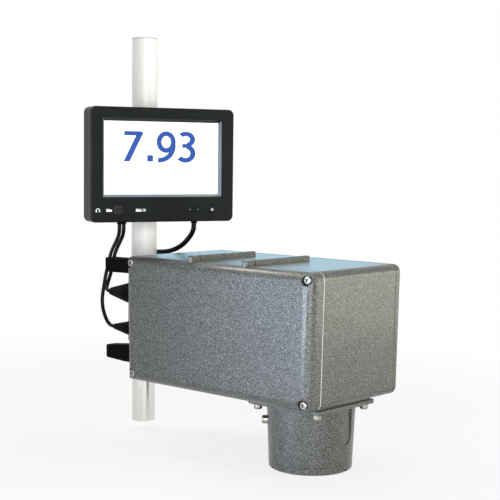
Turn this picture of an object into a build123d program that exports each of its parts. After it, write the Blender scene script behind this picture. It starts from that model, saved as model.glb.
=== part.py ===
from build123d import *

import os
from math import cos, pi, radians, sin, tan

# Near-infrared moisture sensor on its pole, with its display.
# The origin is on the pole's axis at the pole's foot. +X runs along the housing
# towards its measuring end, -Y is the side of the front lid and +Z is up.
# All sizes are in millimetres.

# Pole: a painted upper tube that stands on the shoulder of a bright lower tube
pole_diameter = 31.8
pole_wall = 2.0
pole_top = 478.0
lower_tube_diameter = 28.8
spigot_wall = 1.5
tube_slip = 0.05
upper_tube_foot = 84.0
tube_overlap = 66.0
pole_pin_diameter = 6.0
pole_pin_rise = 10.0
end_plug_depth = 18.0
end_plug_head = 2.5
plug_skirt = 2.0

# Housing: a cast box with drafted ends, open at the front and the rear
reach = 52.5
housing_length = 282.0
housing_depth = 160.0
housing_height = 148.0
housing_lift = 68.0
end_draft = 1.2
wall = 4.5
profile_corner = 9.0
boss_radius = 7.4
boss_inset = 8.2
gasket_thickness = 1.5
gasket_setback = 0.2

# Front lid and rear cover
lid_depth = 21.0
lid_edge = 12.0
cover_depth = 8.5
cover_edge = 3.0
pocket_radius = 6.2
lid_pocket_depth = 5.5
cover_pocket_depth = 1.5
lid_screw_radius = 2.5
lid_head_radius = 4.4
lid_head_height = 3.4
screw_grip = 12.0
screw_clearance = 0.15

# Ribs across the top
rib_places = (100.0, 183.0)
rib_width = 8.0
rib_height = 6.0
rib_front_setback = 6.0
rib_back_setback = 42.0
rib_edge = 1.8

# Measuring opening, flange plate and snout
snout_centre = 221.0
opening_radius = 41.0
floor_pad = 5.0
flange_half = 51.0
flange_corner = 4.0
flange_thickness = 4.5
flange_gasket_thickness = 3.0
flange_gasket_setback = 3.0
flange_screw_offset = 42.0
flange_screw_radius = 3.0
flange_head_radius = 4.8
flange_head_height = 6.8
neck_radius = 44.0
snout_top_radius = 49.7
snout_bottom_radius = 46.6
snout_length = 71.0
ring_height = 8.5
flat_distance = 46.4
flat_angle = 2.7
flat_width = 19.0
flat_corner = 9.0
flat_foot = 40.0
window_radius = 43.0
window_thickness = 3.0
window_gap = 0.1
ring_lip = 3.0
notch_width = 5.0
notch_depth = 3.0
notch_reach = 8.0
notch_angle = 5.0
side_screw_angle = 222.0
side_screw_drop = 19.0
side_seat_depth = 0.6
side_seat_gap = 0.5

# Clamp that holds the housing to the pole
clamp_height = 80.0
clamp_centre = 142.0
clamp_wall = 3.6
clamp_flange_width = 56.0
clamp_flange_height = 96.0
clamp_flange_thickness = 8.0
clamp_flange_corner = 6.0
clamp_head_radius = 4.8
clamp_head_height = 4.0
clamp_neck_width = 30.0
clamp_ear_length = 17.0
clamp_ear_thickness = 7.0
clamp_slit = 3.0
clamp_bolt_radius = 3.0
clamp_bolt_rise = 26.0
clamp_bolt_setback = 8.0
bracket_bolt_side = 20.0
bracket_bolt_rise = 38.0
pole_grip = 0.05

# Sockets, plugs and caps on the left end
connector_side = -48.0
display_plug_drop = 48.0
data_plug_drop = 91.3
supply_plug_drop = 38.0
supply_plug_side = 48.0
socket_radius = 8.0
socket_flange_radius = 11.0
socket_flange_thickness = 3.0
socket_reach = 9.0
socket_spigot_radius = 6.0
socket_gap = 0.2
plug_ring = 12.0
plug_groove = 0.8
plug_taper_start = 28.0
display_plug_length = 59.0
display_plug_radius = 11.9
display_tip_radius = 4.7
data_plug_length = 53.0
data_plug_radius = 8.3
data_tip_radius = 3.5
supply_plug_length = 38.0
upper_cap_drop = 14.5
lower_cap_rise = 26.5
cap_width = 16.0
cap_tall = 18.0
cap_length = 62.0
cap_root = 30.0
cap_neck = 3.0
cap_edge = 2.0
cap_seam = 8.0
cap_seam_width = 0.8
cap_bolt_radius = 1.5
cap_screw_radius = 4.6
cap_screw_height = 3.0
cap_knurls = 16
cap_knurl_radius = 0.45
cap_slot = 1.2

# Display: bezel, rear shell, panel, buttons and its collar on the pole
display_width = 184.0
display_height = 137.0
display_thickness = 31.0
display_front = 67.0
display_centre = 323.4
display_turn = -22.6
display_corner = 7.0
bezel_depth = 13.7
bezel_wall = 2.6
bezel_front_wall = 6.0
bezel_edge = 1.4
shell_seam = 0.8
shell_wall = 2.6
shell_edge = 5.0
tongue_inset = 2.8
tongue_wall = 1.6
tongue_reach = 2.5
window_side = 18.25
window_top = 16.75
window_bottom = 32.75
window_bevel = 3.6
panel_lap = 8.5
panel_thickness = 5.0
strip_line_rise = 21.0
strip_line_width = 0.8
strip_line_depth = 0.6
strip_end = 6.0
button_row_rise = 14.5
menu_inset = 22.5
input_inset = 59.5
power_inset = 28.4
up_spacing = 18.8
arrow_gap = 0.2
button_names = ("menu_button", "input_button", "down_button", "up_button")
button_width = 7.6
button_height = 4.2
power_radius = 4.6
button_gap = 0.2
button_rise = 0.5
button_travel = 0.8
button_flange = 1.4
button_flange_thickness = 1.2
button_slack = 0.1
eye_spacing = 11.8
eye_size = 10.0
eye_depth = 1.6
eye_gap = 0.1
eye_rise = 0.3
vent_drop = 24.5
vent_count = 15
vent_pitch = 7.0
vent_length = 24.0
vent_width = 2.4
collar_height = 30.0
collar_wall = 5.2
collar_play = 0.06
foot_width = 64.0
foot_height = 54.0
foot_thickness = 4.0
foot_bolt_side = 24.0
foot_bolt_rise = 19.0
foot_bolt_radius = 2.0
foot_corner = 4.0
foot_head_radius = 3.5
foot_head_height = 2.6
collar_arm_width = 24.0
lug_length = 13.0
lug_thickness = 5.0
lug_slit = 2.5
lug_bolt_setback = 6.0
lug_bolt_rise = 8.0

# Cables
thin_cable = 4.6
thick_cable = 6.2
exit_depth = 48.0
thin_exit_places = (-49.6, -44.2)
thick_exit_place = 47.6
grommet_drop = 3.0
grommet_wall = 1.6
exit_run = 5.6
thin_plug_run = 6.5
thick_plug_run = 9.0
display_route = [
    (25.5, -58.2, 240.8),
    (20.5, -55.7, 235.2),
    (10.0, -50.3, 228.0),
    (-2.0, -43.5, 220.5),
    (-14.5, -36.4, 211.5),
    (-20.5, -33.4, 201.0),
    (-22.0, -35.0, 190.5),
    (-21.9, -38.6, 181.0),
    (-21.0, -42.6, 174.2),
    (-18.3, -46.3, 169.3),
]
data_route = [
    (23.4, -63.2, 240.8),
    (18.5, -60.7, 235.2),
    (8.0, -55.3, 228.0),
    (-4.2, -48.5, 220.5),
    (-17.0, -41.2, 211.5),
    (-23.5, -38.5, 199.0),
    (-26.2, -40.8, 185.5),
    (-26.5, -43.4, 171.5),
    (-27.0, -45.6, 159.0),
    (-25.8, -46.8, 149.0),
    (-22.6, -47.4, 139.8),
    (-18.0, -47.8, 132.2),
    (-13.2, -48.0, 126.7),
]
supply_route = [
    (60.3, 25.2, 239.8),
    (54.5, 24.3, 232.3),
    (45.5, 23.3, 224.0),
    (32.5, 22.2, 217.3),
    (16.2, 22.0, 213.3),
    (0.0, 22.5, 212.6),
    (-13.5, 26.5, 209.0),
    (-21.5, 34.0, 201.0),
    (-22.0, 42.0, 191.0),
    (-16.0, 47.0, 182.5),
    (-5.5, 48.0, 177.6),
]

# Optics inside the housing
bench_length = 104.0
standoff_inset = 7.0
bench_width = 104.0
bench_shift = -8.0
bench_thickness = 5.0
bench_standoff = 6.0
bench_hole_radius = 38.0
standoff_radius = 4.5
post_radius = 3.0
post_circle = 43.0
post_count = 3
post_length = 62.0
mirror_radius = 48.0
mirror_rim = 10.0
mirror_sag = 6.0
mirror_hole_radius = 9.0
mirror_land_radius = 39.5
beam_height = 125.0
arm_width = 6.0
arm_thickness = 5.0
beam_block_radius = 9.0
beam_block_height = 22.0
detector_radius = 6.0
detector_height = 7.0
lamp_start = 96.0
lamp_length = 54.0
lamp_radius = 21.0
lamp_fin_radius = 25.0
lamp_fin_count = 6
lamp_fin_pitch = 6.0
lamp_fin_thickness = 2.0
lamp_bore_radius = 17.0
lamp_back = 4.0
lamp_foot_width = 40.0
lamp_foot_thickness = 4.0
lamp_web = 14.0
bulb_base = 10.0
reflector_depth = 22.0
reflector_wall = 1.6
bulb_radius = 5.0
bulb_length = 24.0
wheel_place = 181.0
wheel_offset = 28.0
wheel_radius = 37.0
wheel_thickness = 4.0
filter_count = 6
filter_radius = 6.5
filter_ledge = 1.0
filter_thickness = 2.6
filter_gap = 0.05
hub_radius = 9.0
hub_thickness = 5.0
shaft_radius = 3.0
shaft_play = 0.05
shaft_depth = 10.0
motor_radius = 17.0
motor_length = 34.0
motor_gap = 9.0
motor_boss_radius = 6.0
motor_foot = 22.0
motor_bracket_thickness = 4.0
motor_bracket_width = 40.0
board_length = 106.0
board_height = 112.0
board_thickness = 1.6
board_standoff = 7.0
board_start = 64.0
chip_pitch = 28.0
chip_size = 15.0
chip_height = 3.0
relay_pitch = 24.0
relay_width = 13.0
relay_length = 19.0
relay_height = 12.0
capacitor_radius = 6.0
capacitor_height = 11.0

# Values that follow from the sizes above
pole_radius = pole_diameter / 2
spigot_radius = pole_radius - pole_wall - tube_slip
lower_bore_radius = spigot_radius - spigot_wall
pole_pin_height = upper_tube_foot + pole_pin_rise
front_y = -housing_depth / 2
rear_y = housing_depth / 2
lid_back_y = front_y + lid_depth
body_front_y = lid_back_y + gasket_thickness
cover_front_y = rear_y - cover_depth
body_rear_y = cover_front_y - gasket_thickness
housing_top = housing_lift + housing_height
housing_middle = housing_lift + housing_height / 2
display_plug_height = housing_top - display_plug_drop
data_plug_height = housing_top - data_plug_drop
supply_plug_height = housing_top - supply_plug_drop
cap_heights = (housing_top - upper_cap_drop, housing_lift + lower_cap_rise)
left_x = reach
right_x = reach + housing_length
window_width = display_width - 2 * window_side
window_height = display_height - window_top - window_bottom
window_rise = (window_bottom - window_top) / 2
panel_width = window_width + 2 * panel_lap
panel_height = window_height + 2 * panel_lap
strip_line = strip_line_rise - display_height / 2
button_row = button_row_rise - display_height / 2
menu_place = menu_inset - display_width / 2
eye_place = menu_place + eye_spacing
power_place = display_width / 2 - power_inset
up_place = power_place - up_spacing
down_place = up_place - button_width - 2 * button_flange - arrow_gap
button_places = (menu_place, input_inset - display_width / 2, down_place, up_place)
vent_rise = display_height / 2 - vent_drop
lean = tan(radians(end_draft)) * housing_height / 2
snout_x = reach + snout_centre
flange_top = housing_lift - flange_gasket_thickness
flange_foot = flange_top - flange_thickness
snout_foot = flange_foot - snout_length
ring_top = snout_foot + ring_height
floor_top = housing_lift + wall
pad_top = floor_top + floor_pad
bench_foot = pad_top + bench_standoff
bench_top = bench_foot + bench_thickness
mirror_foot = bench_top + post_length

left_end = Plane(
    origin=(left_x, 0, housing_middle),
    x_dir=(0, -1, 0),
    z_dir=(-cos(radians(end_draft)), 0, -sin(radians(end_draft))),
)
turn = radians(display_turn)
screen_normal = Vector(cos(turn), sin(turn), 0)
screen_right = Vector(-sin(turn), cos(turn), 0)


def screen_at(distance):
    """Plane of the display at a distance in front of the pole's axis."""
    return Plane(
        origin=screen_normal * distance + Vector(0, 0, display_centre),
        x_dir=screen_right,
        z_dir=screen_normal,
    )


def across_housing(y):
    """Upright plane across the housing's depth, facing the front."""
    return Plane.XZ.offset(-y)


def snout_radius(z):
    """Outer radius of the tapered snout at a height."""
    share = (flange_foot - z) / snout_length
    return snout_top_radius + (snout_bottom_radius - snout_top_radius) * share


def housing_outline(inset):
    """Front outline of the housing with its drafted ends, moved inwards by inset."""
    with BuildSketch() as outline:
        with BuildLine():
            Polyline(
                (left_x - lean, housing_top),
                (right_x + lean, housing_top),
                (right_x - lean, housing_lift),
                (left_x + lean, housing_lift),
                close=True,
            )
        make_face()
        fillet(outline.vertices(), profile_corner)
        if inset > 0:
            offset(amount=-inset)
    return outline.sketch


def housing_corners(inset):
    """Four points, one in each corner of the housing's outline."""
    low, high = housing_lift + inset, housing_top - inset
    return [
        (left_x - lean + inset, high),
        (right_x + lean - inset, high),
        (left_x + lean + inset, low),
        (right_x - lean - inset, low),
    ]


def cap_screw(plane, points, radius, head_radius, head_height, grip, socket=0.5):
    """Group of socket screws whose heads stand on a plane and whose shanks go into it."""
    with BuildPart() as screws:
        with BuildSketch(plane):
            with Locations(*points):
                Circle(head_radius)
        extrude(amount=head_height)
        rims = screws.edges().filter_by(GeomType.CIRCLE).group_by(
            lambda edge: round(plane.to_local_coords(edge.center()).Z, 3)
        )[-1]
        fillet(rims, head_height * 0.35)
        with BuildSketch(plane.offset(head_height)):
            with Locations(*points):
                RegularPolygon(head_radius * socket, 6)
        extrude(amount=-head_height * 0.55, mode=Mode.SUBTRACT)
        with BuildSketch(plane):
            with Locations(*points):
                Circle(radius)
        extrude(amount=-grip)
    return screws.part


outer_outline = housing_outline(0)
inner_outline = housing_outline(wall)
gasket_outline = housing_outline(gasket_setback)
corner_bosses = housing_corners(boss_inset)


def hollow_section():
    """Inside of the housing without its four corner bosses."""
    with BuildSketch() as section:
        add(inner_outline)
        with Locations(*corner_bosses):
            Circle(boss_radius, mode=Mode.SUBTRACT)
    return section.sketch


def rib_section():
    """Plan of the two ribs that cross the top."""
    length = housing_depth - rib_front_setback - rib_back_setback
    middle = front_y + rib_front_setback + length / 2
    with BuildSketch() as plan:
        with Locations(*[(reach + place, middle) for place in rib_places]):
            SlotOverall(length, rib_width, rotation=90)
    return plan.sketch


hollow = hollow_section()
rib_plan = rib_section()


# Pole

with BuildPart() as upper_tube:
    with BuildSketch(Plane.XY.offset(upper_tube_foot)):
        Circle(pole_radius)
        Circle(pole_radius - pole_wall, mode=Mode.SUBTRACT)
    extrude(amount=pole_top - upper_tube_foot)
    with BuildSketch(Plane.XZ.offset(pole_diameter)):
        with Locations((0, pole_pin_height)):
            Circle(pole_pin_diameter / 2)
    extrude(amount=-2 * pole_diameter, mode=Mode.SUBTRACT)

with BuildPart() as lower_tube:
    with BuildSketch():
        Circle(lower_tube_diameter / 2)
    extrude(amount=upper_tube_foot)
    with BuildSketch(Plane.XY.offset(upper_tube_foot)):
        Circle(spigot_radius)
    extrude(amount=tube_overlap)
    with BuildSketch():
        Circle(lower_bore_radius)
    extrude(amount=upper_tube_foot + tube_overlap, mode=Mode.SUBTRACT)
    with BuildSketch(Plane.XZ.offset(pole_diameter)):
        with Locations((0, pole_pin_height)):
            Circle(pole_pin_diameter / 2)
    extrude(amount=-2 * pole_diameter, mode=Mode.SUBTRACT)

with BuildPart() as pole_pin:
    with BuildSketch(Plane.XZ.offset(pole_radius + 1)):
        with Locations((0, pole_pin_height)):
            Circle(pole_pin_diameter / 2)
    extrude(amount=-pole_diameter - 2)
    chamfer(pole_pin.edges().filter_by(GeomType.CIRCLE), 0.6)

with BuildPart() as end_plugs:
    with BuildSketch(Plane.XY.offset(pole_top)):
        Circle(pole_radius)
    extrude(amount=end_plug_head)
    fillet(end_plugs.edges().sort_by(Axis.Z)[-1], end_plug_head * 0.6)
    with BuildSketch(Plane.XY.offset(pole_top)):
        Circle(pole_radius - pole_wall)
        Circle(pole_radius - pole_wall - plug_skirt, mode=Mode.SUBTRACT)
    extrude(amount=-end_plug_depth)
    with BuildSketch():
        Circle(lower_bore_radius)
    extrude(amount=end_plug_head)
    with BuildSketch(Plane.XY.offset(end_plug_head)):
        Circle(lower_bore_radius)
        Circle(lower_bore_radius - plug_skirt, mode=Mode.SUBTRACT)
    extrude(amount=end_plug_depth)


# Housing body: a drafted frame with corner bosses, a floor pad and the two ribs

with BuildPart() as housing_body:
    with BuildSketch(across_housing(body_rear_y)):
        add(outer_outline)
    extrude(amount=body_rear_y - body_front_y)
    with BuildSketch(across_housing(body_rear_y)):
        add(hollow)
    extrude(amount=body_rear_y - body_front_y, mode=Mode.SUBTRACT)
    with BuildSketch(Plane.XY.offset(housing_top - wall / 2)):
        add(rib_plan)
    extrude(amount=wall / 2 + rib_height)
    fillet(housing_body.faces().sort_by(Axis.Z)[-2:].edges(), rib_edge)
    with BuildSketch(Plane.XY.offset(floor_top)):
        with Locations((snout_x + bench_shift, 0)):
            RectangleRounded(bench_length, bench_width + 4, flange_corner)
    extrude(amount=floor_pad)
    with BuildSketch(Plane.XY.offset(housing_lift)):
        with Locations((snout_x, 0)):
            Circle(opening_radius)
            with GridLocations(2 * flange_screw_offset, 2 * flange_screw_offset, 2, 2):
                Circle(flange_screw_radius)
    extrude(amount=wall + floor_pad, mode=Mode.SUBTRACT)
    split(bisect_by=across_housing(body_front_y), keep=Keep.BOTTOM)
    with BuildSketch(across_housing(body_front_y)):
        with Locations(*corner_bosses):
            Circle(lid_screw_radius)
    extrude(amount=-screw_grip - 2, mode=Mode.SUBTRACT)
    with BuildSketch(across_housing(body_rear_y)):
        with Locations(*corner_bosses):
            Circle(lid_screw_radius)
    extrude(amount=screw_grip + 2, mode=Mode.SUBTRACT)
    with BuildSketch(left_end):
        with Locations(
            (-connector_side, display_plug_height - housing_middle),
            (-connector_side, data_plug_height - housing_middle),
            (-supply_plug_side, supply_plug_height - housing_middle),
        ):
            Circle(socket_radius)
        with Locations(*[(-connector_side, z - housing_middle) for z in cap_heights]):
            Rectangle(cap_width - 4, cap_tall - 4)
        with GridLocations(2 * bracket_bolt_side, 2 * bracket_bolt_rise, 2, 2):
            Circle(clamp_bolt_radius)
    extrude(amount=-wall - 1, mode=Mode.SUBTRACT)


# Front lid: a shallow pan with rounded front edges and screw pockets in its corners

with BuildPart() as front_lid:
    with BuildSketch(across_housing(lid_back_y)):
        with BuildLine():
            Polyline(*[housing_corners(0)[i] for i in (0, 1, 3, 2)], close=True)
        make_face()
    extrude(amount=lid_depth)
    fillet(front_lid.faces().sort_by(Axis.Y)[0].edges(), lid_edge)
    with BuildSketch(across_housing(lid_back_y)):
        add(outer_outline)
    extrude(amount=lid_depth, mode=Mode.INTERSECT)
    with BuildSketch(across_housing(lid_back_y)):
        add(hollow)
    extrude(amount=lid_depth - wall, mode=Mode.SUBTRACT)
    with BuildSketch(across_housing(front_y)):
        with Locations(*corner_bosses):
            Circle(pocket_radius)
    extrude(amount=-lid_pocket_depth, mode=Mode.SUBTRACT)
    with BuildSketch(across_housing(front_y)):
        with Locations(*corner_bosses):
            Circle(lid_screw_radius)
    extrude(amount=-lid_depth, mode=Mode.SUBTRACT)
    with BuildSketch(Plane.XY.offset(housing_top - wall / 2)):
        add(rib_plan)
    extrude(amount=wall / 2 + rib_height)
    fillet(front_lid.faces().sort_by(Axis.Z)[-2:].edges(), rib_edge)
    split(bisect_by=across_housing(lid_back_y), keep=Keep.TOP)

with BuildPart() as lid_gasket:
    with BuildSketch(across_housing(body_front_y)):
        add(gasket_outline)
        add(hollow, mode=Mode.SUBTRACT)
        with Locations(*corner_bosses):
            Circle(lid_screw_radius, mode=Mode.SUBTRACT)
    extrude(amount=gasket_thickness)

lid_screws = cap_screw(
    across_housing(front_y + lid_pocket_depth),
    corner_bosses,
    lid_screw_radius,
    lid_head_radius,
    lid_head_height,
    lid_depth - lid_pocket_depth + gasket_thickness + screw_grip,
)


# Rear cover: a plate with stiffening bosses for the circuit board

board_corners = [
    (board_start + 6 + (board_length - 12) * i, housing_middle + (board_height / 2 - 6) * j)
    for i in (0, 1)
    for j in (-1, 1)
]

with BuildPart() as rear_cover:
    with BuildSketch(across_housing(rear_y)):
        add(outer_outline)
    extrude(amount=cover_depth)
    fillet(rear_cover.faces().sort_by(Axis.Y)[-1].edges(), cover_edge)
    with BuildSketch(across_housing(cover_front_y + wall)):
        add(hollow)
    extrude(amount=wall, mode=Mode.SUBTRACT)
    with BuildSketch(across_housing(rear_y)):
        with Locations(*corner_bosses):
            Circle(pocket_radius)
    extrude(amount=cover_pocket_depth, mode=Mode.SUBTRACT)
    with BuildSketch(across_housing(rear_y)):
        with Locations(*corner_bosses):
            Circle(lid_screw_radius)
    extrude(amount=cover_depth, mode=Mode.SUBTRACT)
    with BuildSketch(across_housing(cover_front_y + wall)):
        with Locations(*board_corners):
            Circle(standoff_radius)
    extrude(amount=wall + gasket_thickness + board_standoff)

with BuildPart() as rear_gasket:
    with BuildSketch(across_housing(cover_front_y)):
        add(gasket_outline)
        add(hollow, mode=Mode.SUBTRACT)
        with Locations(*corner_bosses):
            Circle(lid_screw_radius, mode=Mode.SUBTRACT)
    extrude(amount=gasket_thickness)

rear_plane = Plane(
    origin=(0, rear_y - cover_pocket_depth, 0), x_dir=(-1, 0, 0), z_dir=(0, 1, 0)
)
rear_screws = cap_screw(
    rear_plane,
    [(-x, z) for x, z in corner_bosses],
    lid_screw_radius,
    lid_head_radius,
    lid_head_height,
    cover_depth - cover_pocket_depth + gasket_thickness + screw_grip,
)


# Flange plate, gasket and screws under the measuring end

flange_points = [
    (snout_x + flange_screw_offset * i, flange_screw_offset * j)
    for i in (-1, 1)
    for j in (-1, 1)
]

with BuildPart() as flange_gasket:
    with BuildSketch(Plane.XY.offset(flange_top)):
        with Locations((snout_x, 0)):
            RectangleRounded(
                2 * (flange_half - flange_gasket_setback),
                2 * (flange_half - flange_gasket_setback),
                flange_corner,
            )
            Circle(opening_radius, mode=Mode.SUBTRACT)
        with Locations(*flange_points):
            Circle(flange_screw_radius, mode=Mode.SUBTRACT)
    extrude(amount=flange_gasket_thickness)

with BuildPart() as snout_flange:
    with BuildSketch(Plane.XY.offset(flange_foot)):
        with Locations((snout_x, 0)):
            RectangleRounded(2 * flange_half, 2 * flange_half, flange_corner)
            Circle(neck_radius, mode=Mode.SUBTRACT)
        with Locations(*flange_points):
            Circle(flange_screw_radius, mode=Mode.SUBTRACT)
    extrude(amount=flange_thickness)
    chamfer(snout_flange.faces().sort_by(Axis.Z)[0].outer_wire().edges(), 0.6)

under_flange = Plane(origin=(0, 0, flange_foot), x_dir=(1, 0, 0), z_dir=(0, 0, -1))
flange_screws = cap_screw(
    under_flange,
    [(x, -y) for x, y in flange_points],
    flange_screw_radius,
    flange_head_radius,
    flange_head_height,
    flange_thickness + flange_gasket_thickness + wall + floor_pad - 1,
)


# Snout: a tapered tube with a neck, a milled flat and a screwed ring round its window

side_height = flange_foot - side_screw_drop
side_radius = snout_radius(side_height) - side_seat_depth
side_direction = Vector(cos(radians(side_screw_angle)), sin(radians(side_screw_angle)), 0)
side_plane = Plane(
    origin=Vector(snout_x, 0, side_height) + side_direction * side_radius,
    x_dir=(-side_direction.Y, side_direction.X, 0),
    z_dir=side_direction,
)

with BuildPart() as snout_tube:
    with BuildSketch(Plane(origin=(snout_x, 0, 0), x_dir=(1, 0, 0), z_dir=(0, -1, 0))):
        with BuildLine():
            Polyline(
                (opening_radius, flange_top),
                (neck_radius, flange_top),
                (neck_radius, flange_foot),
                (snout_top_radius, flange_foot),
                (snout_radius(ring_top), ring_top),
                (opening_radius, ring_top),
                close=True,
            )
        make_face()
    revolve(axis=Axis((snout_x, 0, 0), (0, 0, 1)))
    flat_plane = Plane(
        origin=(
            snout_x + flat_distance * cos(radians(flat_angle)),
            flat_distance * sin(radians(flat_angle)),
            flange_foot - flat_foot / 2,
        ),
        x_dir=(-sin(radians(flat_angle)), cos(radians(flat_angle)), 0),
        z_dir=(cos(radians(flat_angle)), sin(radians(flat_angle)), 0),
    )
    with BuildSketch(flat_plane) as flat_sketch:
        Rectangle(flat_width, flat_foot)
        fillet(flat_sketch.vertices().group_by(Axis.Y)[0], flat_corner)
    extrude(amount=10, mode=Mode.SUBTRACT)
    with BuildSketch(side_plane):
        Circle(flange_head_radius + side_seat_gap)
    extrude(amount=side_seat_depth + 2, mode=Mode.SUBTRACT)
    with BuildSketch(side_plane):
        Circle(lid_screw_radius)
    extrude(amount=opening_radius - side_radius, mode=Mode.SUBTRACT)

side_screw = cap_screw(
    side_plane,
    [(0, 0)],
    lid_screw_radius,
    flange_head_radius,
    flange_head_height,
    side_radius - opening_radius - 1,
)

with BuildPart() as window_ring:
    with BuildSketch(Plane(origin=(snout_x, 0, 0), x_dir=(1, 0, 0), z_dir=(0, -1, 0))):
        with BuildLine():
            Polyline(
                (window_radius + window_gap, ring_top),
                (snout_radius(ring_top) - 0.6, ring_top),
                (snout_radius(ring_top), ring_top - 0.6),
                (snout_bottom_radius, snout_foot + 1.5),
                (snout_bottom_radius - 1.5, snout_foot),
                (window_radius - ring_lip, snout_foot),
                (window_radius - ring_lip, ring_top - window_thickness),
                (window_radius + window_gap, ring_top - window_thickness),
                close=True,
            )
        make_face()
    revolve(axis=Axis((snout_x, 0, 0), (0, 0, 1)))
    with BuildSketch(Plane.XY.offset(snout_foot)):
        with Locations((snout_x, 0)):
            with PolarLocations(snout_bottom_radius, 3, start_angle=notch_angle):
                Rectangle(notch_reach, notch_width)
    extrude(amount=notch_depth, mode=Mode.SUBTRACT)

with BuildPart() as snout_window:
    with BuildSketch(Plane.XY.offset(ring_top - window_thickness)):
        with Locations((snout_x, 0)):
            Circle(window_radius)
    extrude(amount=window_thickness)


# Clamp between the pole and the housing's left end

clamp_foot = clamp_centre - clamp_height / 2
clamp_radius = pole_radius + clamp_wall
ear_y = clamp_radius + clamp_ear_length
ear_x = clamp_ear_thickness + clamp_slit / 2
bracket_points = [
    (bracket_bolt_side * i, clamp_centre - housing_middle + bracket_bolt_rise * j)
    for i in (-1, 1)
    for j in (-1, 1)
]
pinch_points = [
    (-(ear_y - clamp_bolt_setback), clamp_centre + clamp_bolt_rise * j) for j in (-1, 1)
]
ear_plane = Plane(origin=(-ear_x, 0, 0), x_dir=(0, -1, 0), z_dir=(-1, 0, 0))

with BuildPart() as pole_clamp:
    with BuildSketch(Plane.XY.offset(clamp_foot)):
        with Locations((left_x / 2 + 2, 0)):
            Rectangle(left_x + 4, clamp_neck_width)
        with Locations((0, ear_y / 2)):
            Rectangle(2 * ear_x, ear_y)
        Circle(clamp_radius)
    extrude(amount=clamp_height)
    fillet(pole_clamp.edges().filter_by(Axis.Z).group_by(Axis.Y)[-1], 2)
    split(bisect_by=left_end, keep=Keep.TOP)
    with BuildSketch(left_end):
        with Locations((0, clamp_centre - housing_middle)):
            RectangleRounded(clamp_flange_width, clamp_flange_height, clamp_flange_corner)
    extrude(amount=clamp_flange_thickness)
    with BuildSketch(Plane.XY.offset(clamp_foot - 1)):
        Circle(pole_radius + pole_grip)
        with Locations((0, ear_y / 2 + 1)):
            Rectangle(clamp_slit, ear_y + 2)
    extrude(amount=clamp_height + 2, mode=Mode.SUBTRACT)
    with BuildSketch(left_end):
        with Locations(*bracket_points):
            Circle(clamp_bolt_radius)
    extrude(amount=clamp_flange_thickness, mode=Mode.SUBTRACT)
    with BuildSketch(ear_plane):
        with Locations(*pinch_points):
            Circle(clamp_bolt_radius)
    extrude(amount=-2 * ear_x, mode=Mode.SUBTRACT)

pinch_screws = cap_screw(
    ear_plane, pinch_points, clamp_bolt_radius, clamp_head_radius, clamp_head_height, 2 * ear_x - 1
)
bracket_screws = cap_screw(
    left_end.offset(clamp_flange_thickness),
    bracket_points,
    clamp_bolt_radius,
    clamp_head_radius,
    clamp_head_height,
    clamp_flange_thickness + wall + 1,
)


# Sockets on the left end, with the plugs of the three cables

def end_spot(side, height):
    """Plane on the left end at a side and a height, facing away from the housing."""
    return Plane(
        origin=left_end.from_local_coords((-side, height - housing_middle, 0)),
        x_dir=left_end.x_dir,
        z_dir=left_end.z_dir,
    )


socket_spots = [
    end_spot(connector_side, display_plug_height),
    end_spot(connector_side, data_plug_height),
    end_spot(supply_plug_side, supply_plug_height),
]

with BuildPart() as panel_sockets:
    with BuildSketch(*socket_spots):
        Circle(socket_flange_radius)
    extrude(amount=socket_flange_thickness)
    chamfer(panel_sockets.edges().filter_by(GeomType.CIRCLE).group_by(Axis.X)[0], 0.6)
    with BuildSketch(*socket_spots):
        Circle(socket_spigot_radius)
    extrude(amount=socket_flange_thickness + socket_reach)
    with BuildSketch(*socket_spots):
        Circle(socket_radius)
    extrude(amount=-socket_reach)


def plug(spot, tip, tip_radius, body_radius):
    """Plug on a socket, with a coupling ring, a grooved body and a tapered cable end."""
    start = socket_flange_thickness
    cavity = socket_reach + socket_gap
    with BuildPart() as body:
        with BuildSketch(Plane(origin=spot.origin, x_dir=(0, 1, 0), z_dir=spot.y_dir)):
            with BuildLine():
                Polyline(
                    (0, start + cavity),
                    (socket_spigot_radius + socket_gap, start + cavity),
                    (socket_spigot_radius + socket_gap, start),
                    (body_radius, start),
                    (body_radius, start + plug_ring),
                    (body_radius - plug_groove, start + plug_ring),
                    (body_radius - plug_groove, start + plug_ring + plug_groove),
                    (body_radius, start + plug_ring + plug_groove),
                    (body_radius, plug_taper_start),
                    (tip_radius, tip),
                    (0, tip),
                    close=True,
                )
            make_face()
        revolve(axis=Axis(spot.origin, spot.z_dir))
    return body.part


display_plug = plug(socket_spots[0], display_plug_length, display_tip_radius, display_plug_radius)
data_plug = plug(socket_spots[1], data_plug_length, data_tip_radius, data_plug_radius)
supply_plug = plug(socket_spots[2], supply_plug_length, data_tip_radius, data_plug_radius)


# Boxed plugs above and below, each with a long screw through it

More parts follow.
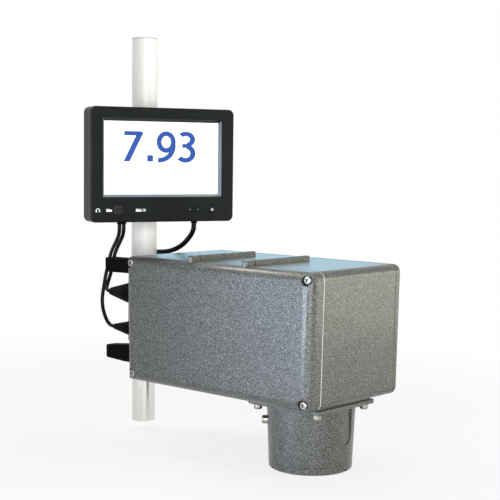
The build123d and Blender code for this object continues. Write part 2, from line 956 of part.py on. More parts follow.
def boxed_cap(height, tall_end, tall_root):
    """Rectangular cap that stands out of the left end and tapers in height to its tip."""
    spot = end_spot(connector_side, height)
    side = Plane(origin=spot.origin - spot.x_dir * cap_width / 2, x_dir=spot.z_dir, z_dir=spot.x_dir)
    with BuildPart() as cap:
        with BuildSketch(side):
            with BuildLine():
                Polyline(
                    (0, -tall_root / 2),
                    (0, tall_root / 2),
                    (cap_root, tall_root / 2),
                    (cap_length, tall_end / 2),
                    (cap_length, -tall_end / 2),
                    (cap_root, -tall_root / 2),
                    close=True,
                )
            make_face()
        extrude(amount=cap_width)
        fillet(cap.edges().filter_by(Axis(spot.origin, spot.z_dir)), cap_edge)
        fillet(cap.faces().sort_by(Axis.X)[0].edges(), cap_edge)
        with BuildSketch(spot.offset(cap_seam)):
            Rectangle(cap_width + 2, tall_root + 2)
            Rectangle(cap_width - 1.2, tall_root - 1.2, mode=Mode.SUBTRACT)
        extrude(amount=cap_seam_width, mode=Mode.SUBTRACT)
        with BuildSketch(spot):
            Rectangle(cap_width - 4, cap_tall - 4)
        extrude(amount=-cap_neck)
        with BuildSketch(spot.offset(cap_length)):
            Circle(cap_bolt_radius)
        extrude(amount=-cap_length, mode=Mode.SUBTRACT)
    return cap.part


upper_cap = boxed_cap(cap_heights[0], cap_tall, cap_tall)
lower_cap = boxed_cap(cap_heights[1], cap_tall - 2, cap_tall + 3)

with BuildPart() as cap_screws:
    cap_tips = [end_spot(connector_side, height).offset(cap_length) for height in cap_heights]
    with BuildSketch(*cap_tips):
        Circle(cap_screw_radius)
        with PolarLocations(cap_screw_radius, cap_knurls):
            Circle(cap_knurl_radius, mode=Mode.SUBTRACT)
    extrude(amount=cap_screw_height)
    with BuildSketch(*[tip.offset(cap_screw_height) for tip in cap_tips]):
        Rectangle(2 * cap_screw_radius, cap_slot)
    extrude(amount=-cap_slot, mode=Mode.SUBTRACT)
    with BuildSketch(*cap_tips):
        Circle(cap_bolt_radius)
    extrude(amount=-cap_length)


# Display: a bezel with a bevelled window and a rear shell that meet at a groove

seam_front = display_front - bezel_depth
display_back = display_front - display_thickness
seam_back = seam_front - shell_seam
lcd_front = display_front - bezel_front_wall

with BuildPart() as bezel:
    with BuildSketch(screen_at(seam_front)):
        RectangleRounded(display_width, display_height, display_corner)
    extrude(amount=bezel_depth)
    fillet(bezel.faces().sort_by(Axis(screen_normal * 0, screen_normal))[-1].edges(), bezel_edge)
    with BuildSketch(screen_at(seam_front)):
        RectangleRounded(
            display_width - 2 * bezel_wall,
            display_height - 2 * bezel_wall,
            display_corner - bezel_wall,
        )
    extrude(amount=bezel_depth - bezel_front_wall, mode=Mode.SUBTRACT)
    with BuildSketch(screen_at(display_front)):
        with Locations((0, window_rise)):
            Rectangle(window_width + 2 * window_bevel, window_height + 2 * window_bevel)
    with BuildSketch(screen_at(lcd_front)):
        with Locations((0, window_rise)):
            Rectangle(window_width, window_height)
    loft(mode=Mode.SUBTRACT)
    with BuildSketch(screen_at(display_front)):
        with Locations((0, strip_line)):
            Rectangle(display_width - 2 * strip_end, strip_line_width)
    extrude(amount=-strip_line_depth, mode=Mode.SUBTRACT)
    with BuildSketch(screen_at(display_front)):
        with Locations(*[(u, button_row) for u in button_places]):
            Rectangle(button_width + 2 * button_gap, button_height + 2 * button_gap)
        with Locations((power_place, button_row)):
            Circle(power_radius + button_gap)
    extrude(amount=-bezel_front_wall, mode=Mode.SUBTRACT)
    with BuildSketch(screen_at(display_front)):
        with Locations((eye_place, button_row)):
            Rectangle(eye_size, eye_size)
    extrude(amount=-eye_depth, mode=Mode.SUBTRACT)

with BuildPart() as remote_window:
    with BuildSketch(screen_at(display_front - eye_depth)) as eye_sketch:
        with Locations((eye_place, button_row)):
            Rectangle(eye_size - 2 * eye_gap, eye_size - 2 * eye_gap)
        fillet(eye_sketch.vertices(), 0.8)
    extrude(amount=eye_depth + eye_rise)
    chamfer(
        remote_window.faces().sort_by(Axis(screen_normal * 0, screen_normal))[-1].edges(), 0.3
    )

exit_points = [screen_right * u + screen_normal * exit_depth for u in thin_exit_places]
exit_points.append(screen_right * thick_exit_place + screen_normal * exit_depth)
exit_radii = (thin_cable / 2, thin_cable / 2, thick_cable / 2)
display_foot = display_centre - display_height / 2
foot_bolts = [(foot_bolt_side * i, foot_bolt_rise * j) for i in (-1, 1) for j in (-1, 1)]

with BuildPart() as shell:
    with BuildSketch(screen_at(display_back)):
        RectangleRounded(display_width, display_height, display_corner)
    extrude(amount=seam_back - display_back)
    fillet(shell.faces().sort_by(Axis(screen_normal * 0, screen_normal))[0].edges(), shell_edge)
    with BuildSketch(screen_at(seam_back)):
        RectangleRounded(
            display_width - 2 * tongue_inset,
            display_height - 2 * tongue_inset,
            display_corner - tongue_inset,
        )
    extrude(amount=shell_seam + tongue_reach)
    with BuildSketch(screen_at(display_back + shell_wall)):
        RectangleRounded(
            display_width - 2 * tongue_inset - 2 * tongue_wall,
            display_height - 2 * tongue_inset - 2 * tongue_wall,
            display_corner - tongue_inset - tongue_wall,
        )
    extrude(amount=seam_front + tongue_reach - display_back - shell_wall, mode=Mode.SUBTRACT)
    with BuildSketch(screen_at(display_back)):
        with Locations((0, vent_rise)):
            with GridLocations(vent_pitch, 0, vent_count, 1):
                SlotOverall(vent_length, vent_width, rotation=90)
        with Locations(*foot_bolts):
            Circle(foot_bolt_radius)
    extrude(amount=shell_wall, mode=Mode.SUBTRACT)
    with BuildSketch(Plane.XY.offset(display_foot)):
        for point, radius in zip(exit_points, exit_radii):
            with Locations((point.X, point.Y)):
                Circle(radius + grommet_wall)
    extrude(amount=tongue_inset + tongue_wall, mode=Mode.SUBTRACT)

with BuildPart() as grommets:
    with BuildSketch(Plane.XY.offset(display_foot - grommet_drop)):
        for point, radius in zip(exit_points, exit_radii):
            with Locations((point.X, point.Y)):
                Circle(radius + grommet_wall - 0.8)
    with BuildSketch(Plane.XY.offset(display_foot)):
        for point, radius in zip(exit_points, exit_radii):
            with Locations((point.X, point.Y)):
                Circle(radius + grommet_wall)
    extrude(amount=tongue_inset + tongue_wall)

with BuildPart() as panel:
    with BuildSketch(screen_at(lcd_front - panel_thickness)):
        with Locations((0, window_rise)):
            Rectangle(panel_width, panel_height)
    extrude(amount=panel_thickness)


def button(plan, flange_plan):
    """Push button with a cap through the bezel and a flange behind it."""
    with BuildPart() as cap:
        with BuildSketch(screen_at(lcd_front - button_slack - button_flange_thickness)):
            add(flange_plan)
        extrude(amount=button_flange_thickness)
        with BuildSketch(screen_at(lcd_front - button_slack)):
            add(plan)
        extrude(amount=bezel_front_wall + button_slack + button_rise)
        tops = cap.faces().sort_by(Axis(screen_normal * 0, screen_normal))[-1]
        fillet(tops.edges(), 0.4)
    return cap.part


buttons = []
for place, name in zip(button_places, button_names):
    with BuildSketch() as cap_plan:
        with Locations((place, button_row)):
            RectangleRounded(button_width, button_height, 0.8)
    with BuildSketch() as cap_flange:
        with Locations((place, button_row)):
            Rectangle(button_width + 2 * button_flange, button_height + 2 * button_flange)
    buttons.append((name, button(cap_plan.sketch, cap_flange.sketch)))

with BuildSketch() as cap_plan:
    with Locations((power_place, button_row)):
        Circle(power_radius)
with BuildSketch() as cap_flange:
    with Locations((power_place, button_row)):
        Circle(power_radius + button_flange)
buttons.append(("power_button", button(cap_plan.sketch, cap_flange.sketch)))


# Collar that carries the display on the pole and lets it turn

collar_radius = pole_radius + collar_wall
collar_foot = display_centre - collar_height / 2
lug_reach = collar_radius + lug_length
lug_half = lug_thickness + lug_slit / 2


def collar_level(z):
    """Level plane with its x direction towards the front of the display."""
    return Plane(origin=(0, 0, z), x_dir=screen_normal, z_dir=(0, 0, 1))


lug_plane = Plane(
    origin=screen_right * lug_half + Vector(0, 0, display_centre),
    x_dir=screen_normal,
    z_dir=screen_right,
)
lug_bolts = [(-(lug_reach - lug_bolt_setback), lug_bolt_rise * j) for j in (-1, 1)]
foot_back = display_back - foot_thickness

with BuildPart() as display_clamp:
    with BuildSketch(collar_level(collar_foot)):
        with Locations((foot_back / 2, 0)):
            Rectangle(foot_back, collar_arm_width)
        with Locations((-lug_reach / 2, 0)):
            Rectangle(lug_reach, 2 * lug_half)
        Circle(collar_radius)
    extrude(amount=collar_height)
    fillet(
        display_clamp.edges().filter_by(Axis.Z).group_by(Axis(screen_normal * 0, screen_normal))[0],
        2,
    )
    with BuildSketch(screen_at(foot_back)):
        RectangleRounded(foot_width, foot_height, foot_corner)
    extrude(amount=foot_thickness)
    with BuildSketch(collar_level(collar_foot)):
        Circle(pole_radius + collar_play)
        with Locations((-lug_reach / 2 - 1, 0)):
            Rectangle(lug_reach + 2, lug_slit)
    extrude(amount=collar_height, mode=Mode.SUBTRACT)
    with BuildSketch(screen_at(foot_back)):
        with Locations(*foot_bolts):
            Circle(foot_bolt_radius)
    extrude(amount=foot_thickness, mode=Mode.SUBTRACT)
    with BuildSketch(lug_plane):
        with Locations(*lug_bolts):
            Circle(foot_bolt_radius)
    extrude(amount=-2 * lug_half, mode=Mode.SUBTRACT)

foot_screws = cap_screw(
    Plane(
        origin=screen_normal * foot_back + Vector(0, 0, display_centre),
        x_dir=-screen_right,
        z_dir=-screen_normal,
    ),
    foot_bolts,
    foot_bolt_radius,
    foot_head_radius,
    foot_head_height,
    foot_thickness + shell_wall + 1,
)
lug_screws = cap_screw(
    lug_plane, lug_bolts, foot_bolt_radius, foot_head_radius, foot_head_height, 2 * lug_half - 1
)
with BuildPart() as clamp_screws:
    add(foot_screws)
    add(lug_screws)


# Cables: straight runs joined by arcs as large as the runs allow

def cable(points, diameter, name):
    """Round cable along a route, with each arc as large as its two runs allow."""
    route = [Vector(*point) for point in points]
    runs = [(b - a).length for a, b in zip(route, route[1:])]
    radii = []
    for i in range(1, len(route) - 1):
        angle = (route[i] - route[i - 1]).get_angle(route[i + 1] - route[i])
        radii.append(0.45 * min(runs[i - 1], runs[i]) / tan(radians(angle / 2)))
    with BuildPart() as tube:
        with BuildLine() as path:
            FilletPolyline(*route, radius=radii)
        with BuildSketch(Plane(origin=route[0], z_dir=route[1] - route[0])):
            Circle(diameter / 2)
        sweep()
    length = path.wires()[0].length
    expected = pi * diameter**2 / 4 * length
    print(name, "length", round(length, 1), "volume share", round(tube.part.volume / expected, 4))
    print(name, "radii", [round(radius, 1) for radius in radii])
    print(name, "runs", [round(run, 1) for run in runs])
    return tube.part


def exit_at(index):
    """Point under a grommet of the display where a cable leaves, and one straight below it."""
    point = exit_points[index]
    top = Vector(point.X, point.Y, display_foot - grommet_drop)
    return [top, top - Vector(0, 0, exit_run)]


def tip_at(spot, length, run):
    """Point straight out of the tip of a plug, and the tip itself."""
    tip = spot.origin + spot.z_dir * length
    return [tip + spot.z_dir * run, tip]


display_cable = cable(
    exit_at(1) + display_route + tip_at(socket_spots[0], display_plug_length, thin_plug_run),
    thin_cable,
    "display_cable",
)
data_cable = cable(
    exit_at(0) + data_route + tip_at(socket_spots[1], data_plug_length, thin_plug_run),
    thin_cable,
    "data_cable",
)
supply_cable = cable(
    exit_at(2) + supply_route + tip_at(socket_spots[2], supply_plug_length, thick_plug_run),
    thick_cable,
    "supply_cable",
)


# Optical bench on standoffs over the measuring opening

bench_x = snout_x + bench_shift
bench_corners = [
    (bench_x + (bench_length / 2 - standoff_inset) * i, (bench_width / 2 - standoff_inset) * j)
    for i in (-1, 1)
    for j in (-1, 1)
]
post_angles = [radians(90 + 360 / post_count * i) for i in range(post_count)]
post_points = [(snout_x + post_circle * cos(a), post_circle * sin(a)) for a in post_angles]

with BuildPart() as standoffs:
    with BuildSketch(Plane.XY.offset(pad_top)):
        with Locations(*[(x, y) for x, y in bench_corners]):
            RegularPolygon(standoff_radius, 6)
    extrude(amount=bench_standoff)

with BuildPart() as bench:
    with BuildSketch(Plane.XY.offset(bench_foot)):
        with Locations((bench_x, 0)):
            RectangleRounded(bench_length, bench_width, 6)
        with Locations((snout_x, 0)):
            Circle(bench_hole_radius, mode=Mode.SUBTRACT)
    extrude(amount=bench_thickness)

with BuildPart() as posts:
    with BuildSketch(Plane.XY.offset(bench_top)):
        with Locations(*post_points):
            Circle(post_radius)
    extrude(amount=post_length)

with BuildPart() as mirror:
    with BuildSketch(Plane(origin=(snout_x, 0, mirror_foot), x_dir=(1, 0, 0), z_dir=(0, -1, 0))):
        with BuildLine():
            Polyline(
                (mirror_hole_radius, mirror_sag),
                (mirror_hole_radius, mirror_rim),
                (mirror_radius, mirror_rim),
                (mirror_radius, 0),
                (mirror_land_radius, 0),
            )
            middle = (mirror_land_radius + mirror_hole_radius) / 2
            ThreePointArc(
                (mirror_land_radius, 0), (middle, mirror_sag * 0.72), (mirror_hole_radius, mirror_sag)
            )
        make_face()
    revolve(axis=Axis((snout_x, 0, 0), (0, 0, 1)))

beam_centre = Vector(snout_x, 0, beam_height)
block_top = beam_height + beam_block_height / 2
arm_direction = Vector(cos(post_angles[1]), sin(post_angles[1]), 0)
arm_level = Plane(
    origin=(snout_x, 0, block_top - arm_thickness), x_dir=arm_direction, z_dir=(0, 0, 1)
)

with BuildPart() as beam_block:
    with BuildSketch(Plane.XY.offset(beam_height - beam_block_height / 2)):
        with Locations((snout_x, 0)):
            Circle(beam_block_radius)
    extrude(amount=beam_block_height)
    split(bisect_by=Plane(origin=beam_centre, z_dir=(1, 0, 1)), keep=Keep.TOP)
    with BuildSketch(arm_level):
        with Locations((post_circle / 2, 0)):
            Rectangle(post_circle, arm_width)
        with Locations((post_circle, 0)):
            Circle(2 * post_radius)
    extrude(amount=arm_thickness)
    with BuildSketch(arm_level):
        with Locations((post_circle, 0)):
            Circle(post_radius)
    extrude(amount=arm_thickness, mode=Mode.SUBTRACT)

with BuildPart() as detector:
    with BuildSketch(Plane.XY.offset(block_top)):
        with Locations((snout_x, 0)):
            Circle(detector_radius + 1)
    extrude(amount=1)
    with BuildSketch(Plane.XY.offset(block_top)):
        with Locations((snout_x, 0)):
            Circle(detector_radius)
    extrude(amount=detector_height)
    fillet(detector.edges().sort_by(Axis.Z)[-1], 1)


# Lamp with cooling fins, on a foot on the housing's floor

def beam_at(x):
    """Plane across the beam at a place along the housing."""
    return Plane(origin=(x, 0, beam_height), x_dir=(0, 1, 0), z_dir=(1, 0, 0))


lamp_end = lamp_start + lamp_length

with BuildPart() as lamp_housing:
    with BuildSketch(beam_at(lamp_start)):
        Circle(lamp_radius)
    extrude(amount=lamp_length)
    with BuildSketch(*[beam_at(lamp_start + 4 + lamp_fin_pitch * i) for i in range(lamp_fin_count)]):
        Circle(lamp_fin_radius)
    extrude(amount=lamp_fin_thickness)
    with BuildSketch(Plane.XY.offset(floor_top)):
        with Locations((lamp_start + lamp_length / 2, 0)):
            Rectangle(lamp_length * 0.8, lamp_foot_width)
    extrude(amount=lamp_foot_thickness)
    with BuildSketch(Plane.XY.offset(floor_top)):
        with Locations((lamp_start + lamp_length / 2, 0)):
            Rectangle(lamp_length / 2, lamp_web)
    extrude(amount=beam_height - floor_top - lamp_bore_radius - 1)
    with BuildSketch(beam_at(lamp_start + lamp_back)):
        Circle(lamp_bore_radius)
    extrude(amount=lamp_length - lamp_back, mode=Mode.SUBTRACT)

with BuildPart() as lamp_bulb:
    with BuildSketch(beam_at(lamp_start + lamp_back)):
        Circle(bulb_radius + 1.5)
    extrude(amount=bulb_base)
    with BuildSketch(beam_at(lamp_start + lamp_back + bulb_base)):
        Circle(bulb_radius)
    extrude(amount=bulb_length)
    fillet(lamp_bulb.edges().sort_by(Axis.X)[-1], bulb_radius * 0.8)

reflector_plane = Plane(
    origin=(lamp_start + lamp_back + bulb_base, 0, beam_height), x_dir=(1, 0, 0), z_dir=(0, -1, 0)
)

with BuildPart() as reflector:
    with BuildSketch(reflector_plane):
        with BuildLine():
            inner = Spline(
                (0, bulb_radius + 2), (reflector_depth * 0.3, bulb_radius + 6.6),
                (reflector_depth, lamp_bore_radius - reflector_wall - 0.1),
            )
            outer = Spline(
                (0, bulb_radius + 2 + reflector_wall),
                (reflector_depth * 0.3, bulb_radius + 6.6 + reflector_wall),
                (reflector_depth, lamp_bore_radius - 0.1),
            )
            Line(inner @ 0, outer @ 0)
            Line(inner @ 1, outer @ 1)
        make_face()
    revolve(axis=Axis((0, 0, beam_height), (1, 0, 0)))


# Filter wheel on its motor

def wheel_at(x):
    """Plane across the wheel's shaft at a place along the housing."""
    return Plane(origin=(x, wheel_offset, beam_height), x_dir=(0, 1, 0), z_dir=(1, 0, 0))


wheel_back = wheel_place - wheel_thickness / 2
motor_face = wheel_place + wheel_thickness / 2 + motor_gap
bracket_back = motor_face - motor_bracket_thickness

with BuildPart() as filter_wheel:
    with BuildSketch(wheel_at(wheel_back)):
        Circle(wheel_radius)
        with PolarLocations(wheel_offset, filter_count, start_angle=180):
            Circle(filter_radius - filter_ledge, mode=Mode.SUBTRACT)
    extrude(amount=wheel_thickness)
    with BuildSketch(wheel_at(wheel_back)):
        with PolarLocations(wheel_offset, filter_count, start_angle=180):
            Circle(filter_radius + filter_gap)
    extrude(amount=filter_thickness, mode=Mode.SUBTRACT)
    with BuildSketch(wheel_at(wheel_back)):
        Circle(hub_radius)
    extrude(amount=-hub_thickness)
    with BuildSketch(wheel_at(wheel_back - hub_thickness)):
        Circle(shaft_radius)
    extrude(amount=hub_thickness + wheel_thickness, mode=Mode.SUBTRACT)

with BuildPart() as filters:
    with BuildSketch(wheel_at(wheel_back)):
        with PolarLocations(wheel_offset, filter_count, start_angle=180):
            Circle(filter_radius)
    extrude(amount=filter_thickness)

with BuildPart() as wheel_shaft:
    with BuildSketch(wheel_at(wheel_back - hub_thickness)):
        Circle(shaft_radius)
    extrude(amount=hub_thickness + wheel_thickness + motor_gap + shaft_depth)

with BuildPart() as wheel_motor:
    with BuildSketch(wheel_at(motor_face)):
        Circle(motor_radius)
    extrude(amount=motor_length)
    fillet(wheel_motor.edges().sort_by(Axis.X)[-1], 2)
    with BuildSketch(wheel_at(bracket_back)):
        Circle(motor_boss_radius)
    extrude(amount=motor_bracket_thickness)
    with BuildSketch(wheel_at(bracket_back)):
        Circle(shaft_radius + shaft_play)
    extrude(amount=motor_bracket_thickness + shaft_depth + 1, mode=Mode.SUBTRACT)

with BuildPart() as motor_bracket:
    with BuildSketch(Plane.XY.offset(floor_top)):
        with Locations((bracket_back + motor_foot / 2, wheel_offset)):
            Rectangle(motor_foot, motor_bracket_width)
    extrude(amount=motor_bracket_thickness)
    with BuildSketch(wheel_at(bracket_back)):
        with Locations((0, (floor_top - beam_height) / 2)):
            Rectangle(motor_bracket_width, beam_height - floor_top)
        Circle(motor_bracket_width / 2)
        Circle(motor_boss_radius, mode=Mode.SUBTRACT)
    extrude(amount=motor_bracket_thickness)


# Circuit board on the bosses of the rear cover

board_back = cover_front_y - gasket_thickness - board_standoff
board_front = board_back - board_thickness

with BuildPart() as board:
    with BuildSketch(across_housing(board_back)):
        with Locations((board_start + board_length / 2, housing_middle)):
            RectangleRounded(board_length, board_height, 3)
    extrude(amount=board_thickness)

with BuildPart() as chips:
    with BuildSketch(across_housing(board_front)):
        with Locations((board_start + board_length / 2, housing_middle)):
            with GridLocations(chip_pitch, chip_pitch, 3, 2):
                Rectangle(chip_size, chip_size)
    extrude(amount=chip_height)
    with BuildSketch(across_housing(board_front)):
        with Locations((board_start + board_length / 2, housing_middle - board_height * 0.35)):
            with GridLocations(relay_pitch, 0, 4, 1):
                Rectangle(relay_width, relay_length)
    extrude(amount=relay_height)
    with BuildSketch(across_housing(board_front)):
        with Locations((board_start + board_length / 2, housing_middle + board_height * 0.38)):
            with GridLocations(relay_pitch, 0, 3, 1):
                Circle(capacitor_radius)
    extrude(amount=capacitor_height)


# Labels and files

pieces = {
    "pole_upper_tube": upper_tube.part,
    "pole_lower_tube": lower_tube.part,
    "pole_joint_pin": pole_pin.part,
    "pole_end_plugs": end_plugs.part,
    "housing_body": housing_body.part,
    "front_lid": front_lid.part,
    "lid_gasket": lid_gasket.part,
    "lid_screws": lid_screws,
    "rear_cover": rear_cover.part,
    "rear_gasket": rear_gasket.part,
    "rear_screws": rear_screws,
    "pole_clamp_bracket": pole_clamp.part,
    "clamp_pinch_screws": pinch_screws,
    "bracket_screws": bracket_screws,
    "snout_flange": snout_flange.part,
    "flange_gasket": flange_gasket.part,
    "flange_screws": flange_screws,
    "snout_tube": snout_tube.part,
    "snout_window": snout_window.part,
    "window_retaining_ring": window_ring.part,
    "snout_side_screw": side_screw,
    "panel_sockets": panel_sockets.part,
    "display_plug": display_plug,
    "data_plug": data_plug,
    "supply_plug": supply_plug,
    "upper_socket_cap": upper_cap,
    "lower_socket_cap": lower_cap,
    "cap_screws": cap_screws.part,
    "monitor_bezel": bezel.part,
    "remote_window": remote_window.part,
    "monitor_shell": shell.part,
    "cable_grommets": grommets.part,
    "display_panel": panel.part,
    "monitor_clamp": display_clamp.part,
    "monitor_clamp_screws": clamp_screws.part,
    "display_cable": display_cable,
    "data_cable": data_cable,
    "supply_cable": supply_cable,
    "optics_standoffs": standoffs.part,
    "optics_plate": bench.part,
    "mirror_posts": posts.part,
    "collector_mirror": mirror.part,
    "beam_block": beam_block.part,
    "detector": detector.part,
    "lamp_housing": lamp_housing.part,
    "lamp_bulb": lamp_bulb.part,
    "lamp_reflector": reflector.part,
    "filter_wheel": filter_wheel.part,
    "filters": filters.part,
    "wheel_shaft": wheel_shaft.part,
    "wheel_motor": wheel_motor.part,
    "motor_bracket": motor_bracket.part,
    "main_board": board.part,
    "board_chips": chips.part,
}
pieces.update(buttons)

os.makedirs("parts", exist_ok=True)
for name, piece in pieces.items():
    piece.label = name
    export_step(piece, f"parts/{name}.step")
print(len(pieces), "pieces")
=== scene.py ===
import logging
import math
from dataclasses import dataclass, field
from enum import Enum
from functools import cache

import bmesh
import bpy
from mathutils import Matrix, Vector


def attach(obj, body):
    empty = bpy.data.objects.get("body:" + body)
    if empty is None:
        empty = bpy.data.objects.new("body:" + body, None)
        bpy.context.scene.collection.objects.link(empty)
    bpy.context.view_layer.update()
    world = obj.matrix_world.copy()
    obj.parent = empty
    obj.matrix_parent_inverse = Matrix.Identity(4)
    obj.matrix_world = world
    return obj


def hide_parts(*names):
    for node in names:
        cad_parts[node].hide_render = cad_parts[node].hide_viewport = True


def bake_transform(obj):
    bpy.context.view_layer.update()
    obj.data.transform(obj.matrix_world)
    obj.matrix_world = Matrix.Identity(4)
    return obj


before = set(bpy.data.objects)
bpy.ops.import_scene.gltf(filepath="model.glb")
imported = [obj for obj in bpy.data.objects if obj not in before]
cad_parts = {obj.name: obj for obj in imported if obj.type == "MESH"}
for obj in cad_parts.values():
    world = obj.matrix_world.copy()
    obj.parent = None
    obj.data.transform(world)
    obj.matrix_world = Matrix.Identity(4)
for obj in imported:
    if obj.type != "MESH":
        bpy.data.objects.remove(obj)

log = logging.getLogger("near_infrared_sensor")
Point = tuple[float, float, float]
Pair = tuple[float, float]
MM = 0.001
WHITE = "ffffff"


# Small tools for colours, nodes and meshes


def linear(value: str) -> tuple[float, float, float, float]:
    """Turn an sRGB hex colour into a linear one.

    Args:
        value: six hex digits, such as "8a8f92".

    Returns:
        Red, green, blue and alpha, from 0 to 1.
    """
    channels = [int(value[i : i + 2], 16) / 255 for i in (0, 2, 4)]
    channels = [c / 12.92 if c <= 0.04045 else ((c + 0.055) / 1.055) ** 2.4 for c in channels]
    return (*channels, 1.0)


def per_metre(size_mm: float) -> float:
    """Turn a pattern's size in millimetres into a texture's scale."""
    return 1 / (size_mm * MM)


def add_node(
    tree: bpy.types.NodeTree,
    kind: str,
    inputs: dict[str | int, object] | None = None,
    stops: dict[float, str] | None = None,
    **settings: object,
) -> bpy.types.Node:
    """Add one shader node with its settings, socket values and links.

    Args:
        tree: the node tree that takes the node.
        kind: the node's type name.
        inputs: a value, or an output socket to link from, for each named or numbered input.
        stops: a colour ramp's places from 0 to 1, in order, with their hex colours.
        **settings: the node's own properties.

    Returns:
        The new node.
    """
    node = tree.nodes.new(kind)
    for key, value in settings.items():
        setattr(node, key, value)
    for key, value in (inputs or {}).items():
        if isinstance(value, bpy.types.NodeSocket):
            tree.links.new(value, node.inputs[key])
        else:
            node.inputs[key].default_value = value
    for index, (place, colour) in enumerate((stops or {}).items()):
        elements = node.color_ramp.elements
        element = elements[index] if index < len(elements) else elements.new(place)
        element.position = place
        element.color = linear(colour)
    return node


def new_object(name: str, mesh: bmesh.types.BMesh) -> bpy.types.Object:
    """Put a finished bmesh into the scene as an object at the origin.

    Args:
        name: the piece's name.
        mesh: the bmesh, which is freed.

    Returns:
        The new object.
    """
    data = bpy.data.meshes.new(name)
    mesh.to_mesh(data)
    mesh.free()
    piece = bpy.data.objects.new(name, data)
    bpy.context.collection.objects.link(piece)
    return piece


def paint(piece: bpy.types.Object, material: bpy.types.Material) -> None:
    """Give a piece one material all over."""
    piece.data.materials.clear()
    piece.data.materials.append(material)


# Finishes


@dataclass(frozen=True)
class Finish:
    """A surface finish named for a real material.

    Attributes:
        name: the material's name.
        colour: its main colour, as sRGB hex.
        roughness: how matt it is, from 0 to 1.
    """

    name: str
    colour: str
    roughness: float

    def start(
        self,
    ) -> tuple[bpy.types.Material, bpy.types.NodeTree, bpy.types.Node, bpy.types.NodeSocket]:
        """Begin the material.

        Returns:
            The material, its node tree, its shader and the Object coordinates.
        """
        material = bpy.data.materials.new(self.name)
        material.use_nodes = True
        tree = material.node_tree
        shader = tree.nodes["Principled BSDF"]
        shader.inputs["Base Color"].default_value = linear(self.colour)
        shader.inputs["Roughness"].default_value = self.roughness
        place = add_node(tree, "ShaderNodeTexCoord").outputs["Object"]
        return material, tree, shader, place

    @cache
    def material(self) -> bpy.types.Material:
        """Return the finish's material, made on its first use."""
        return self.make()

    def make(self) -> bpy.types.Material:
        """Build the material; each kind of finish has its own way."""
        raise NotImplementedError


@dataclass(frozen=True)
class HammeredEnamel(Finish):
    """Stoved hammer-finish enamel on cast aluminium.

    The wet film draws itself into small dimples and carries fine aluminium flake, so it is
    speckled and glints in patches, and its clear skin mirrors the room at a shallow angle.

    Attributes:
        dark: colour in the dimples.
        light: colour of the flake.
        dimple_mm: breadth of a dimple.
        flake_mm: breadth of a patch of flake.
        flake_share: how much of the speckle is flake.
        fineness: how strong the finer layers of the dimples' noise are.
        turn: the pattern's turn, so that no flat face lies along its own grid.
        relief: how strongly the dimples stand out.
        depth_mm: how deep they are.
        metallic: how much of the film is metal to the eye.
        specular: how strongly the film itself shines.
        skin: weight of the clear skin.
        skin_roughness: how matt the skin is.
    """

    dark: str = "202221"
    light: str = "8a8c87"
    dimple_mm: float = 0.9
    flake_mm: float = 0.63
    flake_share: float = 0.25
    fineness: float = 0.65
    turn: Point = (0.5, 0.7, 0.3)
    relief: float = 0.5
    depth_mm: float = 0.5
    metallic: float = 0.5
    specular: float = 0.3
    skin: float = 0.25
    skin_roughness: float = 0.15

    def make(self) -> bpy.types.Material:
        """Build the material.

        Returns:
            The material.
        """
        material, tree, shader, place = self.start()
        turned = add_node(
            tree, "ShaderNodeMapping", {"Vector": place, "Rotation": self.turn}
        ).outputs["Vector"]
        dimples = add_node(
            tree,
            "ShaderNodeTexNoise",
            {
                "Vector": turned,
                "Scale": per_metre(self.dimple_mm),
                "Detail": 2.0,
                "Roughness": self.fineness,
            },
        )
        flake = add_node(
            tree, "ShaderNodeTexVoronoi", {"Vector": turned, "Scale": per_metre(self.flake_mm)}
        )
        speckle = add_node(
            tree,
            "ShaderNodeMix",
            {0: self.flake_share, 2: dimples.outputs["Fac"], 3: flake.outputs["Distance"]},
            data_type="FLOAT",
        ).outputs[0]
        colour = add_node(
            tree,
            "ShaderNodeValToRGB",
            {"Fac": speckle},
            stops={0.36: self.dark, 0.5: self.colour, 0.64: self.light},
        )
        tree.links.new(colour.outputs["Color"], shader.inputs["Base Color"])
        bump = add_node(
            tree,
            "ShaderNodeBump",
            {"Height": speckle, "Strength": self.relief, "Distance": self.depth_mm * MM},
        )
        tree.links.new(bump.outputs["Normal"], shader.inputs["Normal"])
        shader.inputs["Metallic"].default_value = self.metallic
        shader.inputs["Specular IOR Level"].default_value = self.specular
        shader.inputs["Coat Weight"].default_value = self.skin
        shader.inputs["Coat Roughness"].default_value = self.skin_roughness
        return material


